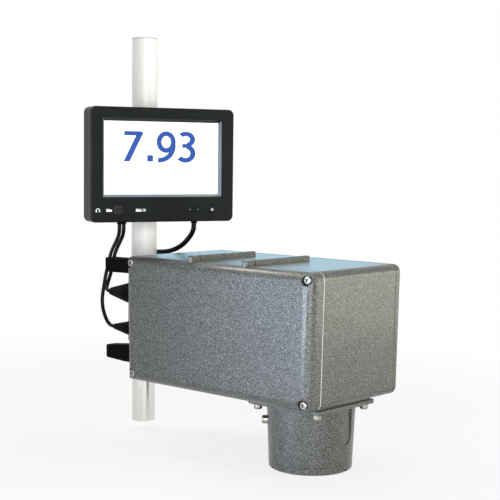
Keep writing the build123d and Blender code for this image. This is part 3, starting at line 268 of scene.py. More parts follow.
@dataclass(frozen=True)
class PowderCoat(Finish):
    """Satin polyester powder coat on steel, with the faint orange peel that the oven leaves.

    Attributes:
        peel_mm: breadth of the orange peel.
        relief: how strongly it stands out.
        depth_mm: how deep it is.
        haze_mm: breadth of the patches that are a little duller.
        haze: how much smoother and duller the patches are than the rest.
        skin: weight of the smooth skin.
        skin_roughness: how matt the skin is.
    """

    peel_mm: float = 1.6
    relief: float = 0.12
    depth_mm: float = 0.2
    haze_mm: float = 71.43
    haze: Pair = (-0.06, 0.08)
    skin: float = 0.15
    skin_roughness: float = 0.25

    def make(self) -> bpy.types.Material:
        """Build the material.

        Returns:
            The material.
        """
        material, tree, shader, place = self.start()
        peel = add_node(
            tree,
            "ShaderNodeTexNoise",
            {"Vector": place, "Scale": per_metre(self.peel_mm), "Detail": 1.0},
        )
        bump = add_node(
            tree,
            "ShaderNodeBump",
            {
                "Height": peel.outputs["Fac"],
                "Strength": self.relief,
                "Distance": self.depth_mm * MM,
            },
        )
        tree.links.new(bump.outputs["Normal"], shader.inputs["Normal"])
        haze = add_node(
            tree,
            "ShaderNodeTexNoise",
            {"Vector": place, "Scale": per_metre(self.haze_mm), "Detail": 4.0},
        )
        rough = add_node(
            tree,
            "ShaderNodeMapRange",
            {
                "Value": haze.outputs["Fac"],
                "To Min": self.roughness + self.haze[0],
                "To Max": self.roughness + self.haze[1],
            },
        )
        tree.links.new(rough.outputs["Result"], shader.inputs["Roughness"])
        shader.inputs["Coat Weight"].default_value = self.skin
        shader.inputs["Coat Roughness"].default_value = self.skin_roughness
        return material


@dataclass(frozen=True)
class DrawnStainless(Finish):
    """Drawn stainless tube, bright, with long straight marks that the die leaves along it.

    Attributes:
        dark: colour of the marks.
        mark_mm: breadth of a mark, drawn coarser than a real one so that it shows.
        mark_length_mm: its length.
        spread: how much smoother and duller the metal is from mark to mark.
    """

    dark: str = "cfcdc8"
    mark_mm: float = 0.8
    mark_length_mm: float = 333.3
    spread: Pair = (-0.04, 0.05)

    def make(self) -> bpy.types.Material:
        """Build the material.

        Returns:
            The material.
        """
        material, tree, shader, place = self.start()
        across, along = per_metre(self.mark_mm), per_metre(self.mark_length_mm)
        stretched = add_node(
            tree, "ShaderNodeMapping", {"Vector": place, "Scale": (across, across, along)}
        )
        marks = add_node(
            tree,
            "ShaderNodeTexNoise",
            {"Vector": stretched.outputs["Vector"], "Scale": 1.0, "Detail": 3.0},
        ).outputs["Fac"]
        colour = add_node(
            tree,
            "ShaderNodeValToRGB",
            {"Fac": marks},
            stops={0.3: self.dark, 0.6: self.colour},
        )
        tree.links.new(colour.outputs["Color"], shader.inputs["Base Color"])
        rough = add_node(
            tree,
            "ShaderNodeMapRange",
            {
                "Value": marks,
                "To Min": self.roughness + self.spread[0],
                "To Max": self.roughness + self.spread[1],
            },
        )
        tree.links.new(rough.outputs["Result"], shader.inputs["Roughness"])
        shader.inputs["Metallic"].default_value = 1.0
        return material


@dataclass(frozen=True)
class MachinedMetal(Finish):
    """Turned or milled metal, with fine tool marks that spread its highlights.

    Attributes:
        grain_mm: breadth of the tool marks, drawn coarser than the real ones so that they show.
        metallic: 1 for bare metal, less under a dark oxide film.
        spread: how much smoother and duller the metal is from mark to mark.
        relief: how strongly the marks stand out.
        depth_mm: how deep they are.
    """

    grain_mm: float = 0.4
    metallic: float = 1.0
    spread: Pair = (-0.1, 0.12)
    relief: float = 0.08
    depth_mm: float = 0.1

    def make(self) -> bpy.types.Material:
        """Build the material.

        Returns:
            The material.
        """
        material, tree, shader, place = self.start()
        grain = add_node(
            tree,
            "ShaderNodeTexNoise",
            {"Vector": place, "Scale": per_metre(self.grain_mm), "Detail": 2.0},
        ).outputs["Fac"]
        rough = add_node(
            tree,
            "ShaderNodeMapRange",
            {
                "Value": grain,
                "To Min": self.roughness + self.spread[0],
                "To Max": self.roughness + self.spread[1],
            },
        )
        tree.links.new(rough.outputs["Result"], shader.inputs["Roughness"])
        bump = add_node(
            tree,
            "ShaderNodeBump",
            {"Height": grain, "Strength": self.relief, "Distance": self.depth_mm * MM},
        )
        tree.links.new(bump.outputs["Normal"], shader.inputs["Normal"])
        shader.inputs["Metallic"].default_value = self.metallic
        return material


@dataclass(frozen=True)
class MouldedPolymer(Finish):
    """Plastic or rubber from a spark-eroded mould, whose fine grain dulls it evenly.

    Attributes:
        grain_mm: breadth of the grain, drawn coarser than the real one so that it shows.
        relief: how strongly it stands out.
        depth_mm: how deep it is.
        worn: colour where handling has paled it.
        cloud_mm: breadth of the paler patches.
        sheen: how strongly it shines.
        gloss: weight of a polished skin.
        gloss_roughness: how matt that skin is.
    """

    grain_mm: float = 0.6
    relief: float = 0.2
    depth_mm: float = 0.1
    worn: str = "1d1f1e"
    cloud_mm: float = 33.33
    sheen: float = 0.25
    gloss: float = 0.0
    gloss_roughness: float = 0.18

    def make(self) -> bpy.types.Material:
        """Build the material.

        Returns:
            The material.
        """
        material, tree, shader, place = self.start()
        grain = add_node(
            tree,
            "ShaderNodeTexNoise",
            {"Vector": place, "Scale": per_metre(self.grain_mm), "Detail": 2.0},
        )
        bump = add_node(
            tree,
            "ShaderNodeBump",
            {
                "Height": grain.outputs["Fac"],
                "Strength": self.relief,
                "Distance": self.depth_mm * MM,
            },
        )
        tree.links.new(bump.outputs["Normal"], shader.inputs["Normal"])
        cloud = add_node(
            tree,
            "ShaderNodeTexNoise",
            {"Vector": place, "Scale": per_metre(self.cloud_mm), "Detail": 5.0},
        )
        colour = add_node(
            tree,
            "ShaderNodeValToRGB",
            {"Fac": cloud.outputs["Fac"]},
            stops={0.35: self.colour, 0.95: self.worn},
        )
        tree.links.new(colour.outputs["Color"], shader.inputs["Base Color"])
        shader.inputs["Specular IOR Level"].default_value = self.sheen
        shader.inputs["Coat Weight"].default_value = self.gloss
        shader.inputs["Coat Roughness"].default_value = self.gloss_roughness
        return material


@dataclass(frozen=True)
class ClearGlass(Finish):
    """Polished optical glass or acrylic, with a faint film of dust.

    Attributes:
        index: its index of refraction.
        clarity: how much light passes, from 0 to 1.
        film_mm: breadth of the film's patches.
        film: how much duller they are.
    """

    index: float = 1.47
    clarity: float = 1.0
    film_mm: float = 16.67
    film: float = 0.03

    def make(self) -> bpy.types.Material:
        """Build the material.

        Returns:
            The material.
        """
        material, tree, shader, place = self.start()
        film = add_node(
            tree,
            "ShaderNodeTexNoise",
            {"Vector": place, "Scale": per_metre(self.film_mm), "Detail": 3.0},
        )
        rough = add_node(
            tree,
            "ShaderNodeMapRange",
            {
                "Value": film.outputs["Fac"],
                "To Min": self.roughness,
                "To Max": self.roughness + self.film,
            },
        )
        tree.links.new(rough.outputs["Result"], shader.inputs["Roughness"])
        shader.inputs["IOR"].default_value = self.index
        shader.inputs["Transmission Weight"].default_value = self.clarity
        return material


@dataclass(frozen=True)
class LitScreen(Finish):
    """White field of a backlit liquid-crystal panel under a clear front sheet.

    Attributes:
        shade: colour where the backlight is weakest.
        cloud_mm: breadth of its weaker patches.
        glow: strength of the backlight.
    """

    shade: str = "f1f3f6"
    cloud_mm: float = 111.1
    glow: float = 0.35

    def make(self) -> bpy.types.Material:
        """Build the material.

        Returns:
            The material.
        """
        material, tree, shader, place = self.start()
        cloud = add_node(
            tree,
            "ShaderNodeTexNoise",
            {"Vector": place, "Scale": per_metre(self.cloud_mm), "Detail": 1.0},
        )
        colour = add_node(
            tree,
            "ShaderNodeValToRGB",
            {"Fac": cloud.outputs["Fac"]},
            stops={0.3: self.shade, 0.7: self.colour},
        ).outputs["Color"]
        tree.links.new(colour, shader.inputs["Base Color"])
        tree.links.new(colour, shader.inputs["Emission Color"])
        shader.inputs["Emission Strength"].default_value = self.glow
        return material


@dataclass(frozen=True)
class PrintedInk(Finish):
    """Flat ink, or a dark shape on the screen, with a slight mottle.

    Attributes:
        mottle_mm: breadth of the mottle, drawn coarser than the real one so that it shows.
        mottle: how much smoother and duller it is.
        sheen: how strongly the ink shines.
    """

    mottle_mm: float = 1.111
    mottle: float = 0.05
    sheen: float = 0.1

    def make(self) -> bpy.types.Material:
        """Build the material.

        Returns:
            The material.
        """
        material, tree, shader, place = self.start()
        mottle = add_node(
            tree, "ShaderNodeTexNoise", {"Vector": place, "Scale": per_metre(self.mottle_mm)}
        )
        rough = add_node(
            tree,
            "ShaderNodeMapRange",
            {
                "Value": mottle.outputs["Fac"],
                "To Min": self.roughness - self.mottle,
                "To Max": self.roughness + self.mottle,
            },
        )
        tree.links.new(rough.outputs["Result"], shader.inputs["Roughness"])
        shader.inputs["Specular IOR Level"].default_value = self.sheen
        return material


# grey-green speckle with small glints, bright only where it turns towards a lamp
ENAMEL = HammeredEnamel("hammered_enamel", "444743", 0.36)
# clean white with a soft broad highlight down the tube
WHITE_COAT = PowderCoat("white_powder_coat", "f6f6f4", 0.4)
# dull dark grey, for the clamps behind
GREY_COAT = PowderCoat("graphite_powder_coat", "43464a", 0.5)
# pale mirror with long streaks
BRIGHT_TUBE = DrawnStainless("drawn_stainless", "dddcd8", 0.2)
# warm grey metal with a sharp glint on each head
STEEL = MachinedMetal("machined_stainless", "9c9a92", 0.3)
# paler and duller than the steel
ALUMINIUM = MachinedMetal("milled_aluminium", "c6c8ca", 0.38)
# near black, so that stray light dies inside the housing
BLACK_ANODISED = MachinedMetal("black_anodised_aluminium", "1c1d1f", 0.5, metallic=0.5)
# yellow mirror
GOLD_MIRROR = MachinedMetal("gold_coated_mirror", "e6c98a", 0.12)
# greenish black with an even satin sheen
ABS = MouldedPolymer("black_abs", "0a100c", 0.4, worn="151c17", sheen=0.08, gloss=0.12)
# milky white plugs
POLYETHYLENE = MouldedPolymer("pale_polyethylene", "d9d9d6", 0.45, worn="c9c9c4", sheen=0.4)
# deep black with hardly a highlight
RUBBER = MouldedPolymer(
    "moulded_neoprene", "030403", 0.6, grain_mm=1.0, worn="0a0d0a", sheen=0.04
)
# pale line between the frame and its lid
GREY_RUBBER = MouldedPolymer("grey_silicone_rubber", "c3c6c3", 0.6, worn="d6d8d4", sheen=0.4)
# dry dark board under the flange
FIBRE = MouldedPolymer("compressed_fibre", "4a4945", 0.8, worn="5c5a54", sheen=0.2)
# the same, greened by oil, under the rear cover
GREEN_FIBRE = MouldedPolymer("oiled_fibre", "5f645b", 0.75, worn="737869", sheen=0.2)
# black, with a thin line of light along each bend
JACKET = MouldedPolymer("pvc_jacket", "040606", 0.4, grain_mm=2.0, worn="0a0d0d", sheen=0.12)
# clear, faintly blue
WINDOW = ClearGlass("fused_silica", "e4eef0", 0.02)
# clear, faintly warm
BULB = ClearGlass("quartz_bulb", "f4f1ea", 0.05)
# violet and half clear
FILTER = ClearGlass("interference_filter", "a05fb0", 0.04, clarity=0.5)
# black gloss that only infrared passes
EYE = ClearGlass("infrared_window_acrylic", "080406", 0.1, index=1.49, clarity=0.0)
# even bright white
SCREEN = LitScreen("backlit_screen", "fbfcfd", 0.2)
# flat blue digits
BLUE_INK = PrintedInk("screen_blue", "3358ab", 0.5)
# bright symbols on the black strip
WHITE_INK = PrintedInk("white_print", "f4f6f4", 0.5)
# symbols that hardly show
GREY_INK = PrintedInk("dim_print", "5a5f5c", 0.5)
# painted light: a patchy blue-grey sheet that stands in for the screen's light on the window's
# black sloping sides
SCREEN_LIGHT_LINER = MouldedPolymer("painted_screen_light", "6f7a84", 0.35, worn="879199", sheen=0.5)
# glossy green
LAMINATE = MouldedPolymer("solder_mask", "14502a", 0.3, worn="1d6636", sheen=0.5)
# matt charcoal
CHIP = MouldedPolymer("moulded_epoxy", "17181a", 0.55)


# Sub-assemblies


@dataclass
class Assembly:
    """A group of pieces that are dressed together.

    Attributes:
        finishes: each finish with the CAD nodes that it goes on.
    """

    finishes: dict[Finish, tuple[str, ...]] = field(default_factory=dict)

    def dress(self) -> None:
        """Give each carried-over node its finish."""
        for finish, nodes in self.finishes.items():
            for node in nodes:
                paint(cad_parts[node], finish.material())
                log.info("%s wears %s", node, finish.name)

    def build(self) -> None:
        """Make the group's own pieces; most groups have none."""

    def keep(self, piece: bpy.types.Object, body: str, slot: str, finish: Finish) -> None:
        """Dress a new piece, set it on its body and report it.

        Args:
            piece: the new piece, in its place.
            body: the body that carries it.
            slot: not used.
            finish: its finish.
        """
        paint(piece, finish.material())
        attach(piece, body)
        log.info("%s rides on %s", piece.name, body)


@dataclass
class Pole(Assembly):
    """White upper tube with its bright lower tube, pin and end plugs."""

    finishes: dict[Finish, tuple[str, ...]] = field(
        default_factory=lambda: {
            WHITE_COAT: ("pole_upper_tube",),
            BRIGHT_TUBE: ("pole_lower_tube",),
            STEEL: ("pole_joint_pin",),
            POLYETHYLENE: ("pole_end_plugs",),
        }
    )


@dataclass
class Housing(Assembly):
    """Cast box with its lid, cover, gaskets, clamp and fasteners."""

    finishes: dict[Finish, tuple[str, ...]] = field(
        default_factory=lambda: {
            ENAMEL: ("housing_body", "front_lid", "rear_cover"),
            GREY_RUBBER: ("lid_gasket",),
            GREEN_FIBRE: ("rear_gasket",),
            GREY_COAT: ("pole_clamp_bracket",),
            STEEL: ("lid_screws", "rear_screws", "clamp_pinch_screws", "bracket_screws"),
        }
    )


@dataclass
class Snout(Assembly):
    """Measuring snout with its flange, window and screws."""

    finishes: dict[Finish, tuple[str, ...]] = field(
        default_factory=lambda: {
            ENAMEL: ("snout_tube", "snout_flange", "window_retaining_ring"),
            FIBRE: ("flange_gasket",),
            STEEL: ("flange_screws", "snout_side_screw"),
            WINDOW: ("snout_window",),
        }
    )


@dataclass
class Connections(Assembly):
    """Sockets, plugs and caps on the left end."""

    finishes: dict[Finish, tuple[str, ...]] = field(
        default_factory=lambda: {
            STEEL: ("panel_sockets", "cap_screws"),
            RUBBER: (
                "upper_socket_cap",
                "lower_socket_cap",
                "display_plug",
                "data_plug",
                "supply_plug",
            ),
        }
    )


@dataclass
class Optics(Assembly):
    """Optical bench, lamp, filter wheel and board inside the housing."""

    finishes: dict[Finish, tuple[str, ...]] = field(
        default_factory=lambda: {
            BLACK_ANODISED: ("optics_plate", "beam_block", "lamp_housing", "filter_wheel"),
            STEEL: ("optics_standoffs", "mirror_posts", "detector", "wheel_shaft"),
            GOLD_MIRROR: ("collector_mirror", "lamp_reflector"),
            BULB: ("lamp_bulb",),
            FILTER: ("filters",),
            ALUMINIUM: ("wheel_motor", "motor_bracket"),
            LAMINATE: ("main_board",),
            CHIP: ("board_chips",),
        }
    )


@dataclass(frozen=True)
class Bar:
    """Straight stroke of a character or symbol.

    Attributes:
        centre: its middle.
        size: its length and width.
        angle: its turn, in degrees.
    """

    centre: Pair
    size: Pair
    angle: float = 0.0

    def draw(self, mesh: bmesh.types.BMesh, height: float) -> None:
        """Add the stroke to a flat shape.

        Args:
            mesh: the shape's bmesh.
            height: the stroke's own level in it.
        """
        place = (
            Matrix.Translation((*self.centre, height))
            @ Matrix.Rotation(math.radians(self.angle), 4, "Z")
            @ Matrix.Diagonal((*self.size, 1, 1))
        )
        bmesh.ops.create_grid(mesh, x_segments=1, y_segments=1, size=0.5, matrix=place)


@dataclass(frozen=True)
class Arc:
    """Round stroke of a character or symbol.

    Attributes:
        centre: its centre.
        radius: its middle radius.
        width: its width.
        start: where it begins, in degrees from +X.
        sweep: how far it goes round, in degrees.
        stretch: how much taller than wide its line is.
        pen: how much of that stretch its width takes at most.
        steps: how many runs make it.
    """

    centre: Pair
    radius: float
    width: float
    start: float
    sweep: float
    stretch: float = 1.0
    pen: float = 1.2
    steps: int = 32

    def draw(self, mesh: bmesh.types.BMesh, height: float) -> None:
        """Add the stroke to a flat shape.

        Args:
            mesh: the shape's bmesh.
            height: the stroke's own level in it.
        """
        own = bmesh.new()
        first = math.radians(self.start)
        along = Vector((math.cos(first), math.sin(first), 0))
        ends = [own.verts.new(along * (self.radius + side * self.width / 2)) for side in (-1, 1)]
        edge = own.edges.new(ends)
        bmesh.ops.spin(
            own,
            geom=[*ends, edge],
            cent=(0, 0, 0),
            axis=(0, 0, 1),
            angle=math.radians(self.sweep),
            steps=self.steps,
            use_merge=self.sweep == 360,
        )
        # the line is stretched, and its width only a little
        thicker = min(self.stretch, self.pen)
        for vertex in own.verts:
            middle = vertex.co.normalized() * self.radius
            vertex.co.y = middle.y * self.stretch + (vertex.co.y - middle.y) * thicker
        bmesh.ops.translate(own, verts=own.verts, vec=(*self.centre, height))
        flat = bpy.data.meshes.new("arc")
        own.to_mesh(flat)
        own.free()
        mesh.from_mesh(flat)
        bpy.data.meshes.remove(flat)


@dataclass(frozen=True)
class Tip:
    """Three-cornered arrow head.

    Attributes:
        radius: from its middle to its corners.
        angle: its turn, in degrees.
    """

    radius: float
    angle: float

    def draw(self, mesh: bmesh.types.BMesh, height: float) -> None:
        """Add the arrow head to a flat shape.

        Args:
            mesh: the shape's bmesh.
            height: its own level in it.
        """
        place = Matrix.Translation((0, 0, height)) @ Matrix.Rotation(
            math.radians(self.angle), 4, "Z"
        )
        bmesh.ops.create_circle(
            mesh, cap_ends=True, segments=3, radius=self.radius, matrix=place
        )


class Mark(Enum):
    """Plain symbols printed on the display's lower strip."""

    HEADPHONES = "headphones"
    MENU = "menu"
    INPUT = "input"
    SOCKET = "socket"
    DOWN = "down"
    UP = "up"
    POWER = "power"


# each character's strokes, on a body 16 wide and 35 high
DIGITS: dict[str, tuple[Bar | Arc, ...]] = {
    ".": (Bar((5, 5), (10, 10)),),
    "7": (Bar((8, 32.6), (16, 4.8)), Bar((8.6, 16), (40, 5.3), 68.5)),
    "9": (
        Arc((8, 24.2), 6.0, 4.0, 0, 360, 1.42),
        Arc((2.4, 20.5), 11.6, 4.0, -96, 108, 1.26),
    ),
    "3": (
        Arc((6.8, 26.2), 6.2, 4.8, -80, 217, 1.03),
        Arc((6.4, 10.3), 7.0, 4.8, -142, 222, 1.12),
        Bar((6.2, 18.9), (5.4, 4.4)),
    ),
}
CUTS = {"7": (0.0, 35.0)}

# each symbol's strokes, in widths of the symbol
SYMBOLS: dict[Mark, tuple[Bar | Arc | Tip, ...]] = {
    Mark.HEADPHONES: (
        Arc((0, 0), 0.38, 0.169, 0, 180),
        Bar((-0.38, -0.18), (0.286, 0.4)),
        Bar((0.38, -0.18), (0.286, 0.4)),
    ),
    Mark.MENU: (Bar((0, -0.06), (1, 0.36)), Bar((-0.2, 0.19), (0.6, 0.09))),
    Mark.INPUT: (
        Bar((0, -0.1), (1, 0.3)),
        Bar((-0.25, 0.14), (0.5, 0.14)),
        Bar((0.3, 0.14), (0.22, 0.14)),
    ),
    Mark.SOCKET: (
        Bar((0, 0.2), (1, 0.16)),
        Bar((0, -0.26), (1, 0.16)),
        Bar((0.1, -0.03), (0.4, 0.18)),
    ),
    Mark.DOWN: (Tip(0.58, -90),),
    Mark.UP: (Tip(0.58, 90),),
    Mark.POWER: (Arc((0, 0), 0.2, 0.13, 120, 300), Bar((0, 0.16), (0.12, 0.24))),
}


@dataclass
class Display(Assembly):
    """Display with its reading and symbols; sizes are in millimetres.

    Attributes:
        turn: angle of the screen's normal from +X, in degrees.
        centre: height of the display's middle.
        screen_depth: distance of the lit panel's face from the pole's axis.
        front_depth: distance of the bezel's front face from the pole's axis.
        key_rise: how far a key's cap stands out of the bezel.
        print_gap: how far print lies off what carries it.
        film: thickness of a printed symbol.
        stroke_step: height from one stroke of a shape to the next that crosses it.
        weld: how near two points of a shape are when they become one.
        digit_gap: how far a character lies off the panel.
        digit_film: thickness of a character.
        liner_size: the liner's inner width and height, its slope and its thickness.
        liner_low: the liner's distance from the pole's axis at the panel.
        liner_high: the same at its outer edge.
        window_rise: how far the window is above the middle.
        digits: each character with its left, right, low and high edges.
        marks: each symbol with its body, its place across and up, its width and its finish;
            all but the display's stand on a key.
    """

    finishes: dict[Finish, tuple[str, ...]] = field(
        default_factory=lambda: {
            ABS: (
                "monitor_bezel",
                "monitor_shell",
                "menu_button",
                "input_button",
                "down_button",
                "up_button",
                "power_button",
            ),
            RUBBER: ("cable_grommets",),
            EYE: ("remote_window",),
            SCREEN: ("display_panel",),
            GREY_COAT: ("monitor_clamp",),
            STEEL: ("monitor_clamp_screws",),
        }
    )
    turn: float = -22.6
    centre: float = 323.4
    screen_depth: float = 61.0
    front_depth: float = 67.0
    key_rise: float = 0.5
    print_gap: float = 0.01
    film: float = 0.05
    stroke_step: float = 0.01
    weld: float = 0.0005
    digit_gap: float = 0.02
    digit_film: float = 0.1
    liner_size: tuple[float, float, float, float] = (147.2, 87.2, 2.7, 0.2)
    liner_low: float = 61.1
    liner_high: float = 65.6
    window_rise: float = 8.0
    digits: tuple[tuple[str, float, float, float, float], ...] = (
        ("7", -49.4, -24.3, 4.0, 39.9),
        (".", -19.4, -12.0, 4.0, 11.6),
        ("9", -7.4, 17.2, 3.0, 40.6),
        ("3", 19.6, 43.3, 3.0, 40.6),
    )
    marks: tuple[tuple[Mark, str, float, float, float, Finish], ...] = (
        (Mark.HEADPHONES, "display", -83.2, -54.0, 5.4, WHITE_INK),
        (Mark.MENU, "menu_button_cap", -69.5, -54.0, 7.0, WHITE_INK),
        (Mark.INPUT, "input_button_cap", -32.5, -54.0, 7.0, WHITE_INK),
        (Mark.SOCKET, "display", -25.4, -54.0, 4.6, WHITE_INK),
        (Mark.DOWN, "down_button_cap", 34.2, -54.0, 2.8, GREY_INK),
        (Mark.UP, "up_button_cap", 44.8, -54.0, 2.8, GREY_INK),
        (Mark.POWER, "power_button_cap", 63.6, -54.0, 6.0, WHITE_INK),
    )

    def plane(self, depth: float) -> Matrix:
        """Place of a level on the display.

        Args:
            depth: distance from the pole's axis.

        Returns:
            A matrix from millimetres on that level, with X across the screen, Y up it and Z
            out of it, to the frame's metres.
        """
        angle = math.radians(self.turn)
        out = Vector((math.cos(angle), math.sin(angle), 0))
        across = Vector((-math.sin(angle), math.cos(angle), 0))
        up = Vector((0, 0, 1))
        middle = out * depth + Vector((0, 0, self.centre))
        level = Matrix(
            [[across[i], up[i], out[i], middle[i]] for i in range(3)] + [[0, 0, 0, 1]]
        )
        return Matrix.Diagonal((MM, MM, MM, 1)) @ level

    def draw(self, strokes: tuple[Bar | Arc | Tip, ...]) -> bmesh.types.BMesh:
        """Draw strokes flat, each on a level of its own.

        Args:
            strokes: the strokes.

        Returns:
            Their bmesh.
        """
        mesh = bmesh.new()
        for index, stroke in enumerate(strokes):
            stroke.draw(mesh, index * self.stroke_step)
        return mesh

    def thicken(self, mesh: bmesh.types.BMesh) -> None:
        """Turn a flat shape's faces up and give them a film's thickness.

        Args:
            mesh: the shape's bmesh.
        """
        bmesh.ops.remove_doubles(mesh, verts=mesh.verts, dist=self.weld)
        mesh.normal_update()
        down = [face for face in mesh.faces if face.normal.z < 0]
        bmesh.ops.reverse_faces(mesh, faces=down)
        grown = bmesh.ops.extrude_face_region(mesh, geom=mesh.faces[:])
        tops = [item for item in grown["geom"] if isinstance(item, bmesh.types.BMVert)]
        bmesh.ops.translate(mesh, verts=tops, vec=(0, 0, self.film))
        bmesh.ops.recalc_face_normals(mesh, faces=mesh.faces)

    def character(self, index: int) -> bpy.types.Object:
        """Make one character of the reading, fitted to its box on the screen.

        Args:
            index: which character.

        Returns:
            The character as a thin mesh piece.
        """
        text, left, right, low, high = self.digits[index]
        mesh = self.draw(DIGITS[text])
        # a slanting stroke is cut level at its ends
        for level, up in zip(CUTS.get(text, ()), (-1, 1)):
            bmesh.ops.bisect_plane(
                mesh,
                geom=[*mesh.verts, *mesh.edges, *mesh.faces],
                plane_co=(0, level, 0),
                plane_no=(0, up, 0),
                clear_outer=True,
            )
        self.thicken(mesh)
        lows = [min(vertex.co[i] for vertex in mesh.verts) for i in range(3)]
        highs = [max(vertex.co[i] for vertex in mesh.verts) for i in range(3)]
        size = (right - left, high - low, self.digit_film)
        scale = Matrix.Diagonal([size[i] / (highs[i] - lows[i]) for i in range(3)]).to_4x4()
        move = Matrix.Translation((left, low, self.digit_gap))
        start = Matrix.Translation([-c for c in lows])
        place = self.plane(self.screen_depth) @ move @ scale @ start
        bmesh.ops.transform(mesh, matrix=place, verts=mesh.verts)
        return new_object(f"reading_{index}", mesh)

    def print_mark(self, index: int) -> bpy.types.Object:
        """Print one symbol on its key or on the bezel.

        Args:
            index: which symbol.

        Returns:
            The printed symbol.
        """
        mark, body, across, up, width, _ = self.marks[index]
        mesh = self.draw(SYMBOLS[mark])
        bmesh.ops.scale(mesh, verts=mesh.verts, vec=(width, width, 1))
        self.thicken(mesh)
        rise = 0.0 if body == "display" else self.key_rise
        place = self.plane(self.front_depth + rise + self.print_gap)
        shift = Matrix.Translation((across, up, 0))
        bmesh.ops.transform(mesh, matrix=place @ shift, verts=mesh.verts)
        return new_object(f"mark_{mark.value}", mesh)

    def liner(self) -> bpy.types.Object:
        """Line the window's sloping sides with a blue-grey sheet of painted light, for the
        screen's light on the black bezel.

        Returns:
            The liner, a thin frame.
        """
        wide, high, slope, thick = self.liner_size
        wider, higher = wide + 2 * slope, high + 2 * slope
        mesh = bmesh.new()
        bmesh.ops.create_grid(
            mesh,
            x_segments=1,
            y_segments=1,
            size=0.5,
            matrix=Matrix.Diagonal((wider, higher, 1, 1)),
        )
        sides = bmesh.ops.extrude_edge_only(mesh, edges=mesh.edges[:])
        low = [item for item in sides["geom"] if isinstance(item, bmesh.types.BMVert)]
        bmesh.ops.translate(mesh, verts=low, vec=(0, 0, self.liner_low - self.liner_high))
        bmesh.ops.scale(mesh, verts=low, vec=(wide / wider, high / higher, 1))
        # the top side stays black, because the bezel shades it
        mesh.normal_update()
        cover = [
            face
            for face in mesh.faces
            if abs(face.normal.z) > 0.9 or face.calc_center_median().y > 0.4 * high
        ]
        bmesh.ops.delete(mesh, geom=cover, context="FACES_ONLY")
        bmesh.ops.recalc_face_normals(mesh, faces=mesh.faces)
        bmesh.ops.solidify(mesh, geom=mesh.faces[:], thickness=thick)
        bmesh.ops.recalc_face_normals(mesh, faces=mesh.faces)
        place = self.plane(self.liner_high) @ Matrix.Translation((0, self.window_rise, 0))
        bmesh.ops.transform(mesh, matrix=place, verts=mesh.verts)
        return new_object("painted_screen_light_liner", mesh)

    def build(self) -> None:
        """Make the reading, the symbols and the window's liner of painted screen light."""
        for index in range(len(self.digits)):
            self.keep(self.character(index), "display", "panel_face", BLUE_INK)
        for index, (_, body, *_, finish) in enumerate(self.marks):
            self.keep(self.print_mark(index), body, "display_plastic", finish)
        self.keep(self.liner(), "display", "panel_face", SCREEN_LIGHT_LINER)


@dataclass(frozen=True)
class Cable:
    """One cable from the display to a plug.

    Attributes:
        node: the CAD node it replaces.
        diameter: across its jacket, in metres.
        route: its control points in metres, from the display to the plug.
    """

    node: str
    diameter: float
    route: tuple[Point, ...]


@dataclass
class Cables(Assembly):
    """Cables between the display and the stand, laid as smooth round tubes.

    Attributes:
        still: the height in metres up to which they stay with the stand; not used.
        moving: the height from which they turn with the display; not used.
        runs: how many runs the curve has between two control points.
        facets: how finely a quarter of the jacket's round is divided.
        cables: the cables.
    """

    still: float = 0.205
    moving: float = 0.252
    runs: int = 12
    facets: int = 5
    cables: tuple[Cable, ...] = ()

    def curve(self, cable: Cable, thickness: float) -> bpy.types.Object:
        """Lay a cable's smooth line through its control points.

        Args:
            cable: the cable.
            thickness: the bevel's radius, or 0 for the bare line.

        Returns:
            The curve's object.
        """
        data = bpy.data.curves.new(cable.node, "CURVE")
        data.dimensions = "3D"
        data.resolution_u = self.runs
        data.bevel_depth = thickness
        data.bevel_resolution = self.facets
        data.use_fill_caps = thickness > 0
        spline = data.splines.new("NURBS")
        spline.points.add(len(cable.route) - 1)
        for point, place in zip(spline.points, cable.route):
            point.co = (*place, 1.0)
        spline.order_u = 3
        spline.use_endpoint_u = True
        piece = bpy.data.objects.new(cable.node, data)
        bpy.context.collection.objects.link(piece)
        bpy.context.view_layer.update()
        return piece

    def mesh_of(self, piece: bpy.types.Object) -> bpy.types.Mesh:
        """Turn a curve's object into a mesh and remove the curve.

        Args:
            piece: the curve's object.

        Returns:
            The mesh.
        """
        graph = bpy.context.evaluated_depsgraph_get()
        mesh = bpy.data.meshes.new_from_object(piece.evaluated_get(graph))
        bpy.data.objects.remove(piece)
        return mesh

    def lay(self, cable: Cable) -> None:
        """Args:
            cable: the cable.
        """
        line = self.mesh_of(self.curve(cable, 0.0))
        mesh = self.mesh_of(self.curve(cable, cable.diameter / 2))
        mesh.shade_smooth()
        piece = bpy.data.objects.new(f"{cable.node}_jacket", mesh)
        bpy.context.collection.objects.link(piece)
        paint(piece, JACKET.material())
        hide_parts(cable.node)
        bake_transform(piece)

    def build(self) -> None:
        """Lay every cable."""
        for cable in self.cables:
            self.lay(cable)


